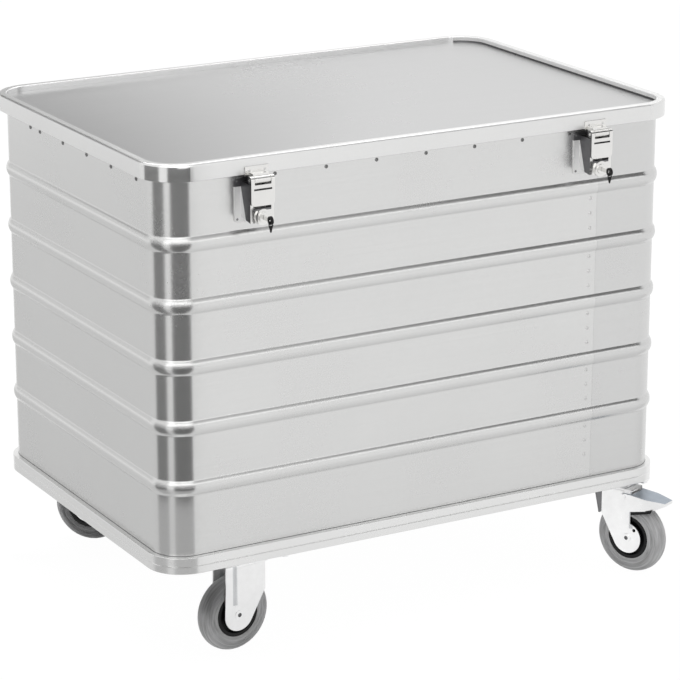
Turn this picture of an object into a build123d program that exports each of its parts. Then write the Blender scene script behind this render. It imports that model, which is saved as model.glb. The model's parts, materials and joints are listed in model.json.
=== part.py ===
from build123d import *
import math
import os

# A lockable transport cart: a beaded aluminium box with a hinged lid, on four swivel castors.
# Millimetres. X runs along the front, the hinges are at +Y, Z is up and the floor is at Z = 0.

# Box
BOX_LENGTH = 910.0
BOX_WIDTH = 604.0
CORNER_RADIUS = 50.0
SHEET = 1.5
BEAD_COUNT = 5
BEAD_PITCH = 96.0
FIRST_BEAD_RISE = 110.0
TOP_BAND = 110.0
BEAD_HEIGHT = 24.0
BEAD_DEPTH = 4.6

# Riveted lap joint of the two wall sheets
SEAM_X = 320.0
LAP_WIDTH = 25.0
JOGGLE = 3.0
LAP_GAP = 0.05
LAP_END_GAP = 4.0

# Base frame extrusion
CASTOR_HEIGHT = 158.0
BASE_HEIGHT = 27.0
BASE_OVERHANG = 9.0
BASE_WALL = 3.0
BASE_LEDGE = 8.0
LEDGE_DROP = 9.0
BASE_EDGE_RADIUS = 1.4
GROOVE_RISE = 13.0
GROOVE_SIZE = 1.2
FLOOR_SHEET = 2.0
SLIDE_FIT = 0.1

# Cross channels that carry the castors
CHANNEL_WIDTH = 118.0
CHANNEL_WALL = 3.0

# Edge frame round the top of the box
FRAME_WALL = 2.5
FRAME_LEG = 32.0
FRAME_INWARD = 16.0
FRAME_OUTWARD = 7.0

# Lid
LID_REST_GAP = 0.3
RIM_HEIGHT = 27.0
RIM_TOP_RISE = 13.2
RIM_OVERHANG = 14.0
RIM_WALL = 2.5
RIM_LEDGE = 30.0
RIM_OUTER_RADIUS = 4.0
RIM_INNER_RADIUS = 2.0
SKIRT_EDGE_RADIUS = 1.2
LID_SHEET = 1.5

# Rear hinges
HINGE_SPACING = 520.0
HINGE_WIDTH = 60.0
HINGE_KNUCKLE = 29.4
HINGE_LEAF = 2.5
HINGE_LEAF_GAP = 0.8
HINGE_LID_LEAF = 19.0
HINGE_BODY_LEAF = 40.0
HINGE_ARM_DROP = 10.0
HINGE_BARREL_RADIUS = 4.5
HINGE_PIN_RADIUS = 2.5
HINGE_STANDOFF = 5.0
HINGE_DROP = 2.0
KNUCKLE_GAP = 0.3
RUNNING_FIT = 0.05

# Hasp locks
LOCK_INSET = 152.0
LOCK_PLATE_WIDTH = 62.0
LOCK_PLATE_MARGIN = 4.0
LOCK_PLATE_RISE = 5.0
LOCK_PLATE = 2.0
LOCK_PLATE_RADIUS = 5.0
CASE_GAP = 1.0
CASE_FOOT_SLOPE = 5.0
CASE_WALL = 3.0
CASE_FRONT = 4.0
HASP_BARREL_RADIUS = 6.0
HASP_PIN_RADIUS = 2.5
HASP_DROP = 5.0
HASP_STANDOFF = 7.0
HASP_KNUCKLE = 27.0
HASP_PLATE = 2.8
HASP_GAP = 0.6
HASP_LENGTH = 39.5
HASP_SHOULDER_GAP = 1.0
HASP_CORNER = 6.0
HASP_SLOT_DROP = 14.0
HASP_SLOT_WIDTH = 30.0
HASP_SLOT_HEIGHT = 2.2
BRACKET_PLATE = 2.0
BRACKET_HEIGHT = 13.0
BRACKET_ARM_RISE = 4.0
STAPLE_WIDTH = 8.0
STAPLE_HEIGHT = 14.0
STAPLE_DROP = 31.0
STAPLE_DEPTH = 20.0
STAPLE_ARM = 3.2
NOTCH_GAP = 2.0
NOTCH_FOOT = 5.0
BOLT_THICK = 4.0
BOLT_TONGUE = 6.0
BOLT_GAP = 0.6
BOLT_POST = 4.7
BOLT_WEB = 1.5
PLUG_RADIUS = 8.0
PLUG_DROP = 57.0
PLUG_PROUD = 2.0
BOSS_RADIUS = 12.5
BOSS_PROUD = 3.0
FINGER_SLOT_WIDTH = 30.0
FINGER_SLOT_GAP = 0.5
FINGER_SLOT_LAP = 2.5
CRANK_RADIUS = 5.0
CRANK_PIN_RADIUS = 1.5
CRANK_SLOT_GAP = 0.6
CRANK_REST_ANGLE = 135.0

# Keys
KEY_THICK = 2.0
KEY_BLADE = 6.4
KEY_TAIL_WALL = 1.0
KEY_FIT = 0.1
KEY_NECK = 16.0
KEY_BOW_RADIUS = 5.0
KEY_HOLE_RADIUS = 3.0
KEY_HOLE_INSET = 4.5
KEY_HEAD_MARGIN = 1.5
KEY_HEAD_THICK = 4.0
TAG_BAR = 1.4
TAG_GAP = 0.7
TAG_WINDOW_WIDTH = 5.0
TAG_WINDOW_HEIGHT = 5.2
TAG_SIDE = 1.2
TAG_LENGTH = 17.6
TAG_TIP_RADIUS = 1.0
TAG_THICK = 1.6

# Castors
CASTOR_INSET_LEFT = 170.5
CASTOR_INSET_RIGHT = 56.0
CASTOR_INSET_SIDE = 44.0
CASTOR_HEADINGS = {"fl": 187.0, "fr": -66.0, "rr": 66.0, "rl": 135.0}
BRAKED = ("fr", "rr")
PLATE_LENGTH = 105.0
PLATE_WIDTH = 85.0
PLATE_THICK = 3.5
PLATE_CORNER = 18.0
BOLT_PITCH_X = 80.0
BOLT_PITCH_Y = 60.0
BOLT_RADIUS = 4.0
BOLT_HOLE_RADIUS = 4.5
BOLT_HEAD_ACROSS = 13.0
BOLT_HEAD_HEIGHT = 5.3
BOLT_GRIP_PAST = 6.0
RACE_RADIUS = 27.0
RACE_HEIGHT = 6.5
SWIVEL_GAP = 0.3
KINGPIN_RADIUS = 6.0
KINGPIN_HEAD_RADIUS = 11.0
KINGPIN_HEAD = 6.0
TRAIL = 40.0
FORK_SHEET = 2.5
FORK_GAP = 33.4
FORK_BEND = 6.0
FORK_LEAD = 10.0
FORK_TAIL = 63.0
FORK_BRAKED_TAIL = 46.0
FORK_CROWN_TAIL = 33.0
FORK_SHOULDER = 51.0
FORK_WAIST = 30.0
FORK_EYE_RADIUS = 26.5
CROWN_RADIUS = 28.0
SWAGE_DEPTH = 1.2
SWAGE_MARGIN = 4.0
SWAGE_TAIL = 7.0
SWAGE_AXLE_GAP = 6.0
GUARD_REACH = 33.0
GUARD_DROP = 64.0
GUARD_TOP_WIDTH = 22.0
GUARD_FOOT_WIDTH = 6.0
WHEEL_CLEARANCE = 20.2
TYRE_WIDTH = 32.0
TYRE_SHOULDER = 14.0
TYRE_DEPTH = 25.0
CENTRE_WIDTH = 29.5
CENTRE_RIM_DEPTH = 6.0
CENTRE_WEB = 8.0
HUB_RADIUS = 15.0
HUB_SIDE_GAP = 0.3
AXLE_RADIUS = 6.0
AXLE_HEAD_RADIUS = 7.5
AXLE_HEAD = 1.5
AXLE_SOCKET_RADIUS = 3.0

# Brake pedals
PEDAL_PIVOT = 32.0
PEDAL_PIVOT_DROP = 13.7
PEDAL_PIN_RADIUS = 3.0
PEDAL_PIN_HEAD_RADIUS = 5.0
PEDAL_PIN_HEAD = 1.5
PEDAL_EYE_RADIUS = 6.0
PEDAL_SHEET = 2.0
PEDAL_FIT = 0.4
PEDAL_REACH = 108.0
PEDAL_TOP_DROP = 8.0
PEDAL_TIP_DROP = 5.0
PEDAL_TAPER_START = 75.0
PEDAL_TIP_WIDTH = 24.0
PEDAL_LIP = 5.0
PEDAL_FRONT_GAP = 1.0
FLANK_DEPTH = 29.5
FLANK_END = 92.0
FLANK_END_DEPTH = 18.5
PAD_START = 48.0
PAD_LENGTH = 12.0
PAD_WIDTH = 28.0
PAD_GAP = 2.7
SPRING_HOLE_RADIUS = 3.0
SPRING_HOLE_REACH = 14.0
SPRING_HOLE_RISE = 15.5

# Heights worked out from the sizes above
BASE_TOP = CASTOR_HEIGHT + BASE_HEIGHT
LEDGE_TOP = BASE_TOP - LEDGE_DROP
FLOOR_TOP = LEDGE_TOP + FLOOR_SHEET
WALL_TOP = BASE_TOP + FIRST_BEAD_RISE + BEAD_PITCH * (BEAD_COUNT - 1) + TOP_BAND
FRAME_TOP = WALL_TOP + FRAME_WALL
RIM_SEAT = FRAME_TOP + LID_REST_GAP
RIM_TOP = RIM_SEAT + RIM_TOP_RISE
SKIRT_FOOT = RIM_TOP - RIM_HEIGHT
PANEL_SEAT = RIM_SEAT + RIM_WALL

HALF = (BOX_LENGTH / 2, BOX_WIDTH / 2)


def save(shape, name):
    export_step(shape, os.path.join("parts", name + ".step"))


def polygon(*points):
    return make_face(Polyline(*points, close=True))


def block(x0, x1, y0, y1, z0, z1):
    middle = ((x0 + x1) / 2, (y0 + y1) / 2, (z0 + z1) / 2)
    return Pos(*middle) * Box(x1 - x0, y1 - y0, z1 - z0)


def rod_x(radius, x0, x1, y, z):
    return Pos((x0 + x1) / 2, y, z) * Rot(0, 90, 0) * Cylinder(radius, x1 - x0)


def rod_y(radius, x, y0, y1, z):
    return Pos(x, (y0 + y1) / 2, z) * Rot(90, 0, 0) * Cylinder(radius, y1 - y0)


def rod_z(radius, x, y, z0, z1):
    return Pos(x, y, (z0 + z1) / 2) * Cylinder(radius, z1 - z0)


def rounded_near(section, points, radius):
    corners = [section.vertices().sort_by_distance((x, z, 0))[0] for x, z in points]
    return fillet(corners, radius)


# Sections run round the box. In a section x is the distance out from the flat wall and y is the height.
# Sides are numbered right, rear, left, front, and run anticlockwise seen from above.
def side_frame(side, along):
    angle = math.radians(90 * side)
    out = Vector(math.cos(angle), math.sin(angle), 0)
    way = Vector(-math.sin(angle), math.cos(angle), 0)
    origin = out * HALF[side % 2] + way * along
    return Plane(origin=origin, x_dir=out, z_dir=-way)


def side_end(side):
    return HALF[(side + 1) % 2] - CORNER_RADIUS


def along_side(section, side, start, end):
    return extrude(side_frame(side, end) * section, end - start)


def whole_side(section, side):
    return along_side(section, side, -side_end(side), side_end(side))


def round_corner(section, side):
    frame = side_frame(side, side_end(side))
    centre = frame.origin - frame.x_dir * CORNER_RADIUS
    return revolve(frame * section, Axis(centre, (0, 0, 1)), 90)


def ring(section):
    sides = [whole_side(section, side) for side in range(4)]
    corners = [round_corner(section, side) for side in range(4)]
    return Part() + sides + corners


def rounded_sheet(outward, bottom, thick):
    outline = RectangleRounded(
        BOX_LENGTH + 2 * outward, BOX_WIDTH + 2 * outward, CORNER_RADIUS + outward
    )
    return Pos(0, 0, bottom) * extrude(outline, thick)


# Wall sheets
def beaded_line(out, bottom, top):
    edges = []
    height = bottom
    for k in range(BEAD_COUNT):
        middle = BASE_TOP + FIRST_BEAD_RISE + BEAD_PITCH * k
        low = middle - BEAD_HEIGHT / 2
        high = middle + BEAD_HEIGHT / 2
        edges.append(Line((out, height), (out, low)))
        edges.append(ThreePointArc((out, low), (out + BEAD_DEPTH, middle), (out, high)))
        height = high
    edges.append(Line((out, height), (out, top)))
    return edges


def sheet_section(outer, inner, bottom, top):
    caps = [Line((outer, bottom), (inner, bottom)), Line((outer, top), (inner, top))]
    return make_face(beaded_line(outer, bottom, top) + beaded_line(inner, bottom, top) + caps)


def wall_sheet():
    """One sheet from its outer edge on the front, round the left side, to its lapped edge on the rear."""
    rear, left, front = range(1, 4)
    under = -SHEET - LAP_GAP
    lap_foot = FLOOR_TOP + LAP_END_GAP
    lap_top = WALL_TOP - FRAME_LEG - LAP_END_GAP
    wall = sheet_section(0, -SHEET, LEDGE_TOP, WALL_TOP)
    lap = sheet_section(under, under - SHEET, lap_foot, lap_top)
    step = sheet_section(-SHEET / 2, under - SHEET, lap_foot, lap_top)
    pieces = [
        along_side(wall, front, -side_end(front), SEAM_X),
        round_corner(wall, left),
        whole_side(wall, left),
        round_corner(wall, rear),
        along_side(wall, rear, SEAM_X + LAP_GAP, side_end(rear)),
        along_side(step, rear, SEAM_X + LAP_GAP, SEAM_X + JOGGLE),
        along_side(lap, rear, SEAM_X - LAP_WIDTH, SEAM_X + JOGGLE),
    ]
    return Part() + pieces


# Base
def base_section():
    groove = CASTOR_HEIGHT + GROOVE_RISE
    ledge_foot = LEDGE_TOP - BASE_WALL
    top_foot = BASE_TOP - BASE_WALL
    inner = BASE_OVERHANG - BASE_WALL
    section = polygon(
        (BASE_OVERHANG, CASTOR_HEIGHT),
        (BASE_OVERHANG, groove - GROOVE_SIZE),
        (BASE_OVERHANG - GROOVE_SIZE, groove),
        (BASE_OVERHANG, groove + GROOVE_SIZE),
        (BASE_OVERHANG, BASE_TOP),
        (SLIDE_FIT, BASE_TOP),
        (SLIDE_FIT, LEDGE_TOP),
        (-BASE_LEDGE, LEDGE_TOP),
        (-BASE_LEDGE, ledge_foot),
        (BASE_WALL, ledge_foot),
        (BASE_WALL, top_foot),
        (inner, top_foot),
        (inner, CASTOR_HEIGHT),
    )
    edges = [(BASE_OVERHANG, BASE_TOP), (BASE_OVERHANG, CASTOR_HEIGHT)]
    return rounded_near(section, edges, BASE_EDGE_RADIUS)


def castor_places():
    x_left = -HALF[0] + CASTOR_INSET_LEFT
    x_right = HALF[0] - CASTOR_INSET_RIGHT
    y_rear = HALF[1] - CASTOR_INSET_SIDE
    return {
        "fl": (x_left, -y_rear),
        "fr": (x_right, -y_rear),
        "rr": (x_right, y_rear),
        "rl": (x_left, y_rear),
    }


def bolt_places():
    places = []
    for x, y in castor_places().values():
        for side_x in (-1, 1):
            for side_y in (-1, 1):
                places.append((x + side_x * BOLT_PITCH_X / 2, y + side_y * BOLT_PITCH_Y / 2))
    return places


def cross_channels():
    reach = BASE_OVERHANG - BASE_WALL - SLIDE_FIT
    end = HALF[1] + reach
    ledge_foot = LEDGE_TOP - BASE_WALL
    outer = CHANNEL_WIDTH / 2
    inner = outer - CHANNEL_WALL
    web_top = CASTOR_HEIGHT + CHANNEL_WALL
    section = polygon(
        (-outer, CASTOR_HEIGHT),
        (outer, CASTOR_HEIGHT),
        (outer, LEDGE_TOP),
        (inner, LEDGE_TOP),
        (inner, web_top),
        (-inner, web_top),
        (-inner, LEDGE_TOP),
        (-outer, LEDGE_TOP),
    )
    channel = extrude(Plane(origin=(0, end, 0), x_dir=(1, 0, 0), z_dir=(0, -1, 0)) * section, 2 * end)
    inside = rounded_sheet(reach, CASTOR_HEIGHT, ledge_foot - CASTOR_HEIGHT)
    inside += rounded_sheet(-BASE_LEDGE - SLIDE_FIT, ledge_foot, BASE_WALL)
    places = castor_places()
    holes = [rod_z(BOLT_HOLE_RADIUS, x, y, CASTOR_HEIGHT, web_top) for x, y in bolt_places()]
    return [(Pos(places[name][0], 0, 0) * channel & inside) - holes for name in ("fl", "fr")]


def castor_bolts():
    foot = CASTOR_HEIGHT - PLATE_THICK
    bolts = []
    for x, y in bolt_places():
        hexagon = RegularPolygon(BOLT_HEAD_ACROSS / 2, 6, major_radius=False)
        head = Pos(x, y, foot - BOLT_HEAD_HEIGHT) * extrude(hexagon, BOLT_HEAD_HEIGHT)
        shank = rod_z(BOLT_RADIUS, x, y, foot, CASTOR_HEIGHT + CHANNEL_WALL + BOLT_GRIP_PAST)
        bolts.append(head + shank)
    return bolts


# Edge frame and lid
def frame_section():
    leg_foot = WALL_TOP - FRAME_LEG
    return polygon(
        (-SHEET, leg_foot),
        (-SHEET, WALL_TOP),
        (FRAME_OUTWARD, WALL_TOP),
        (FRAME_OUTWARD, FRAME_TOP),
        (-FRAME_INWARD, FRAME_TOP),
        (-FRAME_INWARD, WALL_TOP),
        (-SHEET - FRAME_WALL, WALL_TOP),
        (-SHEET - FRAME_WALL, leg_foot),
    )


def rim_section():
    skirt_inner = RIM_OVERHANG - RIM_WALL
    section = polygon(
        (-RIM_LEDGE, RIM_SEAT),
        (RIM_WALL, RIM_SEAT),
        (RIM_WALL, RIM_TOP - RIM_WALL),
        (skirt_inner, RIM_TOP - RIM_WALL),
        (skirt_inner, SKIRT_FOOT),
        (RIM_OVERHANG, SKIRT_FOOT),
        (RIM_OVERHANG, RIM_TOP),
        (0, RIM_TOP),
        (0, PANEL_SEAT),
        (-RIM_LEDGE, PANEL_SEAT),
    )
    section = rounded_near(section, [(RIM_OVERHANG, RIM_TOP)], RIM_OUTER_RADIUS)
    section = rounded_near(section, [(0, RIM_TOP)], RIM_INNER_RADIUS)
    skirt = [(skirt_inner, SKIRT_FOOT), (RIM_OVERHANG, SKIRT_FOOT)]
    return rounded_near(section, skirt, SKIRT_EDGE_RADIUS)


# Rear hinges, drawn at X = 0 and set out along the rear side
HINGE_Y = HALF[1] + RIM_OVERHANG + HINGE_STANDOFF
HINGE_Z = SKIRT_FOOT - HINGE_DROP
HINGE_PLACES = (-HINGE_SPACING / 2, HINGE_SPACING / 2)


def hinge_lid_leaf():
    skirt = HALF[1] + RIM_OVERHANG
    half = HINGE_WIDTH / 2
    knuckle = HINGE_KNUCKLE / 2
    plate_foot = HINGE_Z + HINGE_BARREL_RADIUS + HINGE_LEAF_GAP
    plate = block(-half, half, skirt, skirt + HINGE_LEAF, plate_foot, plate_foot + HINGE_LID_LEAF)
    strap = block(-knuckle, knuckle, skirt, skirt + HINGE_LEAF, HINGE_Z, plate_foot)
    barrel = rod_x(HINGE_BARREL_RADIUS, -knuckle, knuckle, HINGE_Y, HINGE_Z)
    bore = rod_x(HINGE_PIN_RADIUS + RUNNING_FIT, -knuckle, knuckle, HINGE_Y, HINGE_Z)
    return plate + strap + barrel - bore


def hinge_body_leaf():
    wall = HALF[1]
    half = HINGE_WIDTH / 2
    knuckle = HINGE_KNUCKLE / 2 + KNUCKLE_GAP
    bend = HINGE_Z - HINGE_ARM_DROP
    leaf = polygon(
        (wall, bend - HINGE_BODY_LEAF),
        (wall + HINGE_LEAF, bend - HINGE_BODY_LEAF),
        (wall + HINGE_LEAF, bend - HINGE_LEAF),
        (HINGE_Y, HINGE_Z - HINGE_BARREL_RADIUS),
        (HINGE_Y, HINGE_Z),
        (wall, bend),
    )
    whole = extrude(Plane(origin=(-half, 0, 0), x_dir=(0, 1, 0), z_dir=(1, 0, 0)) * leaf, 2 * half)
    barrel = rod_x(HINGE_BARREL_RADIUS, -half, half, HINGE_Y, HINGE_Z)
    gap_near = HINGE_Y - HINGE_STANDOFF - HINGE_LEAF
    gap_far = HINGE_Y + HINGE_BARREL_RADIUS
    gap_low = HINGE_Z - HINGE_BARREL_RADIUS - HINGE_LEAF
    gap_high = HINGE_Z + HINGE_BARREL_RADIUS
    gap = block(-knuckle, knuckle, gap_near, gap_far, gap_low, gap_high)
    bore = rod_x(HINGE_PIN_RADIUS + RUNNING_FIT, -half, half, HINGE_Y, HINGE_Z)
    return whole + barrel - gap - bore


def hinge_pin():
    return rod_x(HINGE_PIN_RADIUS, -HINGE_WIDTH / 2, HINGE_WIDTH / 2, HINGE_Y, HINGE_Z)


# Locks, drawn at X = 0 with the wall face at Y = 0, and set out along the front
HASP_AXIS_OUT = RIM_OVERHANG + BRACKET_PLATE + HASP_GAP + HASP_STANDOFF + HASP_BARREL_RADIUS
HASP_Z = SKIRT_FOOT - HASP_DROP
CASE_DEPTH = HASP_AXIS_OUT + HASP_BARREL_RADIUS - HASP_PLATE - HASP_GAP
CASE_TOP = HASP_Z - HASP_BARREL_RADIUS - CASE_GAP
HASP_FOOT = HASP_Z - HASP_LENGTH
STAPLE_Z = HASP_Z - STAPLE_DROP
PLUG_Z = HASP_Z - PLUG_DROP
PLUG_FACE = CASE_DEPTH + BOSS_PROUD + PLUG_PROUD
CRANK_X = CRANK_RADIUS * math.cos(math.radians(CRANK_REST_ANGLE))
CRANK_Z = PLUG_Z + CRANK_RADIUS * math.sin(math.radians(CRANK_REST_ANGLE))
BOLT_TRAVEL = -2 * CRANK_X
BOLT_OUT = CASE_DEPTH + HASP_GAP - STAPLE_DEPTH + STAPLE_ARM
BOLT_LEFT = -STAPLE_WIDTH / 2 - BOLT_GAP - BOLT_TRAVEL - BOLT_POST
CRANK_SLOT = CRANK_PIN_RADIUS + CRANK_SLOT_GAP
BOLT_FOOT = CRANK_Z - CRANK_SLOT - BOLT_WEB
CASE_HALF = CASE_WALL + BOLT_GAP - BOLT_LEFT
HOLLOW_FOOT = BOLT_FOOT - BOLT_GAP
CASE_FOOT = HOLLOW_FOOT - CASE_WALL - CASE_FOOT_SLOPE
PLUG_TAIL = BOLT_OUT + BOLT_THICK + 2 * BOLT_GAP
KEY_BLADE_LENGTH = PLUG_FACE - PLUG_TAIL - KEY_TAIL_WALL
LOCK_PLACES = {"left": -HALF[0] + LOCK_INSET, "right": HALF[0] - LOCK_INSET}


def lock_case():
    plate_foot = CASE_FOOT - LOCK_PLATE_MARGIN
    plate_top = CASE_TOP + LOCK_PLATE_RISE
    outline = RectangleRounded(LOCK_PLATE_WIDTH, plate_top - plate_foot, LOCK_PLATE_RADIUS)
    wall = Plane(origin=(0, 0, (plate_foot + plate_top) / 2), x_dir=(1, 0, 0), z_dir=(0, -1, 0))
    plate = extrude(wall * outline, LOCK_PLATE)
    side = polygon(
        (0, CASE_TOP),
        (CASE_DEPTH, CASE_TOP),
        (CASE_DEPTH, CASE_FOOT),
        (0, CASE_FOOT + CASE_FOOT_SLOPE),
    )
    cheek = Plane(origin=(CASE_HALF, 0, 0), x_dir=(0, -1, 0), z_dir=(-1, 0, 0))
    shell = extrude(cheek * side, 2 * CASE_HALF)
    boss = rod_y(BOSS_RADIUS, 0, -CASE_DEPTH - BOSS_PROUD, -CASE_DEPTH + CASE_FRONT, PLUG_Z)
    inner = CASE_HALF - CASE_WALL
    front = -CASE_DEPTH + CASE_FRONT
    hollow = block(-inner, inner, front, -LOCK_PLATE, HOLLOW_FOOT, CASE_TOP - CASE_WALL)
    notch_half = STAPLE_WIDTH / 2 + NOTCH_GAP
    notch_foot = STAPLE_Z - STAPLE_HEIGHT / 2 - NOTCH_FOOT
    back = -CASE_DEPTH - HASP_GAP + STAPLE_DEPTH + NOTCH_GAP
    notch = block(-notch_half, notch_half, -CASE_DEPTH, back, notch_foot, CASE_TOP)
    finger_half = FINGER_SLOT_WIDTH / 2
    finger_foot = PLUG_Z + BOSS_RADIUS + FINGER_SLOT_GAP
    finger_top = HASP_FOOT + FINGER_SLOT_LAP
    finger = block(-finger_half, finger_half, -CASE_DEPTH, front, finger_foot, finger_top)
    bore = rod_y(PLUG_RADIUS + RUNNING_FIT, 0, -CASE_DEPTH - BOSS_PROUD, -LOCK_PLATE, PLUG_Z)
    return plate + shell + boss - hollow - notch - finger - bore


def lock_plug():
    body = rod_y(PLUG_RADIUS, 0, -PLUG_FACE, -PLUG_TAIL, PLUG_Z)
    crank = rod_y(CRANK_PIN_RADIUS, CRANK_X, -PLUG_TAIL, -BOLT_OUT, CRANK_Z)
    half = KEY_THICK / 2 + KEY_FIT
    tall = KEY_BLADE / 2 + KEY_FIT
    slot_end = -PLUG_FACE + KEY_BLADE_LENGTH + KEY_FIT
    slot = block(-half, half, -PLUG_FACE, slot_end, PLUG_Z - tall, PLUG_Z + tall)
    return body + crank - slot


def lock_bolt():
    """A slotted plate that the crank pin shifts to the right, so that its tongue enters the staple."""
    tip = -STAPLE_WIDTH / 2 - BOLT_GAP
    slot_foot = CRANK_Z - CRANK_SLOT
    slot_top = PLUG_Z + CRANK_RADIUS + CRANK_SLOT
    slot_left = CRANK_X - CRANK_SLOT
    slot_right = CRANK_X + CRANK_SLOT
    y0 = -BOLT_OUT - BOLT_THICK
    y1 = -BOLT_OUT
    tongue_foot = STAPLE_Z - BOLT_TONGUE / 2
    tongue_top = STAPLE_Z + BOLT_TONGUE / 2
    post = block(BOLT_LEFT, BOLT_LEFT + BOLT_POST, y0, y1, BOLT_FOOT, tongue_top)
    tongue = block(BOLT_LEFT, tip, y0, y1, tongue_foot, tongue_top)
    bar = block(BOLT_LEFT, slot_right + BOLT_WEB, y0, y1, BOLT_FOOT, slot_top + BOLT_WEB)
    slot = block(slot_left, slot_right, y0, y1, slot_foot, slot_top)
    return post + tongue + bar - slot


def hasp_bracket():
    skirt = RIM_OVERHANG
    half = CASE_HALF
    plate_top = SKIRT_FOOT + BRACKET_HEIGHT
    arm_top = SKIRT_FOOT + BRACKET_ARM_RISE
    knuckle = HASP_KNUCKLE / 2
    plate = block(-half, half, -skirt - BRACKET_PLATE, -skirt, SKIRT_FOOT, plate_top)
    arm = block(-knuckle, knuckle, -HASP_AXIS_OUT, -skirt, HASP_Z, arm_top)
    barrel = rod_x(HASP_BARREL_RADIUS, -knuckle, knuckle, -HASP_AXIS_OUT, HASP_Z)
    pin = rod_x(HASP_PIN_RADIUS, -half, half, -HASP_AXIS_OUT, HASP_Z)
    return plate + arm + barrel + pin


def hasp():
    half = CASE_HALF
    back = -CASE_DEPTH - HASP_GAP
    front = back - HASP_PLATE
    shoulder = HASP_Z - HASP_BARREL_RADIUS - HASP_SHOULDER_GAP
    inner = HASP_KNUCKLE / 2 + KNUCKLE_GAP
    bore = rod_x(HASP_PIN_RADIUS + RUNNING_FIT, -half, half, -HASP_AXIS_OUT, HASP_Z)
    knuckles = []
    for x0, x1 in ((-half, -inner), (inner, half)):
        knuckles.append(rod_x(HASP_BARREL_RADIUS, x0, x1, -HASP_AXIS_OUT, HASP_Z))
        knuckles.append(block(x0, x1, front, back, shoulder, HASP_Z))
    plate = block(-half, half, front, back, HASP_FOOT, shoulder)
    lower = plate.edges().filter_by(Axis.Y).group_by(Axis.Z)[0]
    plate = fillet(lower, HASP_CORNER)
    slot_half = HASP_SLOT_WIDTH / 2
    slot_top = HASP_Z - HASP_SLOT_DROP + HASP_SLOT_HEIGHT / 2
    slot = block(-slot_half, slot_half, front, back, slot_top - HASP_SLOT_HEIGHT, slot_top)
    staple_half = STAPLE_WIDTH / 2
    low = STAPLE_Z - STAPLE_HEIGHT / 2
    high = STAPLE_Z + STAPLE_HEIGHT / 2
    staple = block(-staple_half, staple_half, back, back + STAPLE_DEPTH, low, high)
    eye_tall = BOLT_TONGUE / 2 + BOLT_GAP
    eye_y0 = -BOLT_OUT - BOLT_THICK - BOLT_GAP
    eye_y1 = -BOLT_OUT + BOLT_GAP
    eye = block(-staple_half, staple_half, eye_y0, eye_y1, STAPLE_Z - eye_tall, STAPLE_Z + eye_tall)
    return plate + knuckles + staple - slot - eye - bore


# Keys lie in the YZ plane with the bow outward
KEY_BOW_Y = -PLUG_FACE - KEY_NECK - KEY_BOW_RADIUS
KEY_HOLE_Y = KEY_BOW_Y - KEY_BOW_RADIUS + KEY_HOLE_INSET
TAG_BAR_Z = PLUG_Z - KEY_HOLE_RADIUS + TAG_GAP + TAG_BAR / 2


def key_blank():
    half = KEY_THICK / 2
    tall = KEY_BLADE / 2
    blade = block(-half, half, KEY_BOW_Y, -PLUG_FACE + KEY_BLADE_LENGTH, PLUG_Z - tall, PLUG_Z + tall)
    return blade + rod_x(KEY_BOW_RADIUS, -half, half, KEY_BOW_Y, PLUG_Z)


def key_hole(thick):
    return rod_x(KEY_HOLE_RADIUS, -thick / 2, thick / 2, KEY_HOLE_Y, PLUG_Z)


def key_shape():
    return key_blank() - key_hole(KEY_THICK)


def key_head():
    """A plastic head moulded round the bow of the key."""
    half = KEY_HEAD_THICK / 2
    head = rod_x(KEY_BOW_RADIUS + KEY_HEAD_MARGIN, -half, half, KEY_BOW_Y, PLUG_Z)
    return head - key_blank() - key_hole(KEY_HEAD_THICK)


def key_ring():
    """A plastic tag that hangs from the key by the bar over its window and narrows to a tip."""
    half = TAG_WINDOW_WIDTH / 2 + TAG_SIDE
    bar_top = TAG_BAR / 2
    window_foot = -TAG_BAR / 2 - TAG_WINDOW_HEIGHT
    loop = polygon((-half, bar_top), (half, bar_top), (half, window_foot), (-half, window_foot))
    tip = Pos(0, bar_top - TAG_LENGTH + TAG_TIP_RADIUS) * Circle(TAG_TIP_RADIUS)
    window = Pos(0, window_foot + TAG_WINDOW_HEIGHT / 2) * Rectangle(TAG_WINDOW_WIDTH, TAG_WINDOW_HEIGHT)
    outline = make_hull(loop.edges() + tip.edges()) - window
    face = Plane(origin=(0, KEY_HOLE_Y + TAG_THICK / 2, TAG_BAR_Z), x_dir=(1, 0, 0), z_dir=(0, -1, 0))
    return extrude(face * outline, TAG_THICK)


# Castors, drawn with the kingpin at X = Y = 0 and the wheel trailing towards +X
CROWN_TOP = CASTOR_HEIGHT - PLATE_THICK - RACE_HEIGHT - SWIVEL_GAP
CROWN_FOOT = CROWN_TOP - FORK_SHEET
WHEEL_RADIUS = (CROWN_FOOT - WHEEL_CLEARANCE) / 2
TYRE_SEAT_RADIUS = WHEEL_RADIUS - TYRE_DEPTH
LEG_OUTER = FORK_GAP / 2 + FORK_SHEET
PEDAL_PIVOT_Z = CROWN_TOP - PEDAL_PIVOT_DROP
PEDAL_INNER = LEG_OUTER + PEDAL_FIT
PEDAL_OUTER = PEDAL_INNER + PEDAL_SHEET


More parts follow.
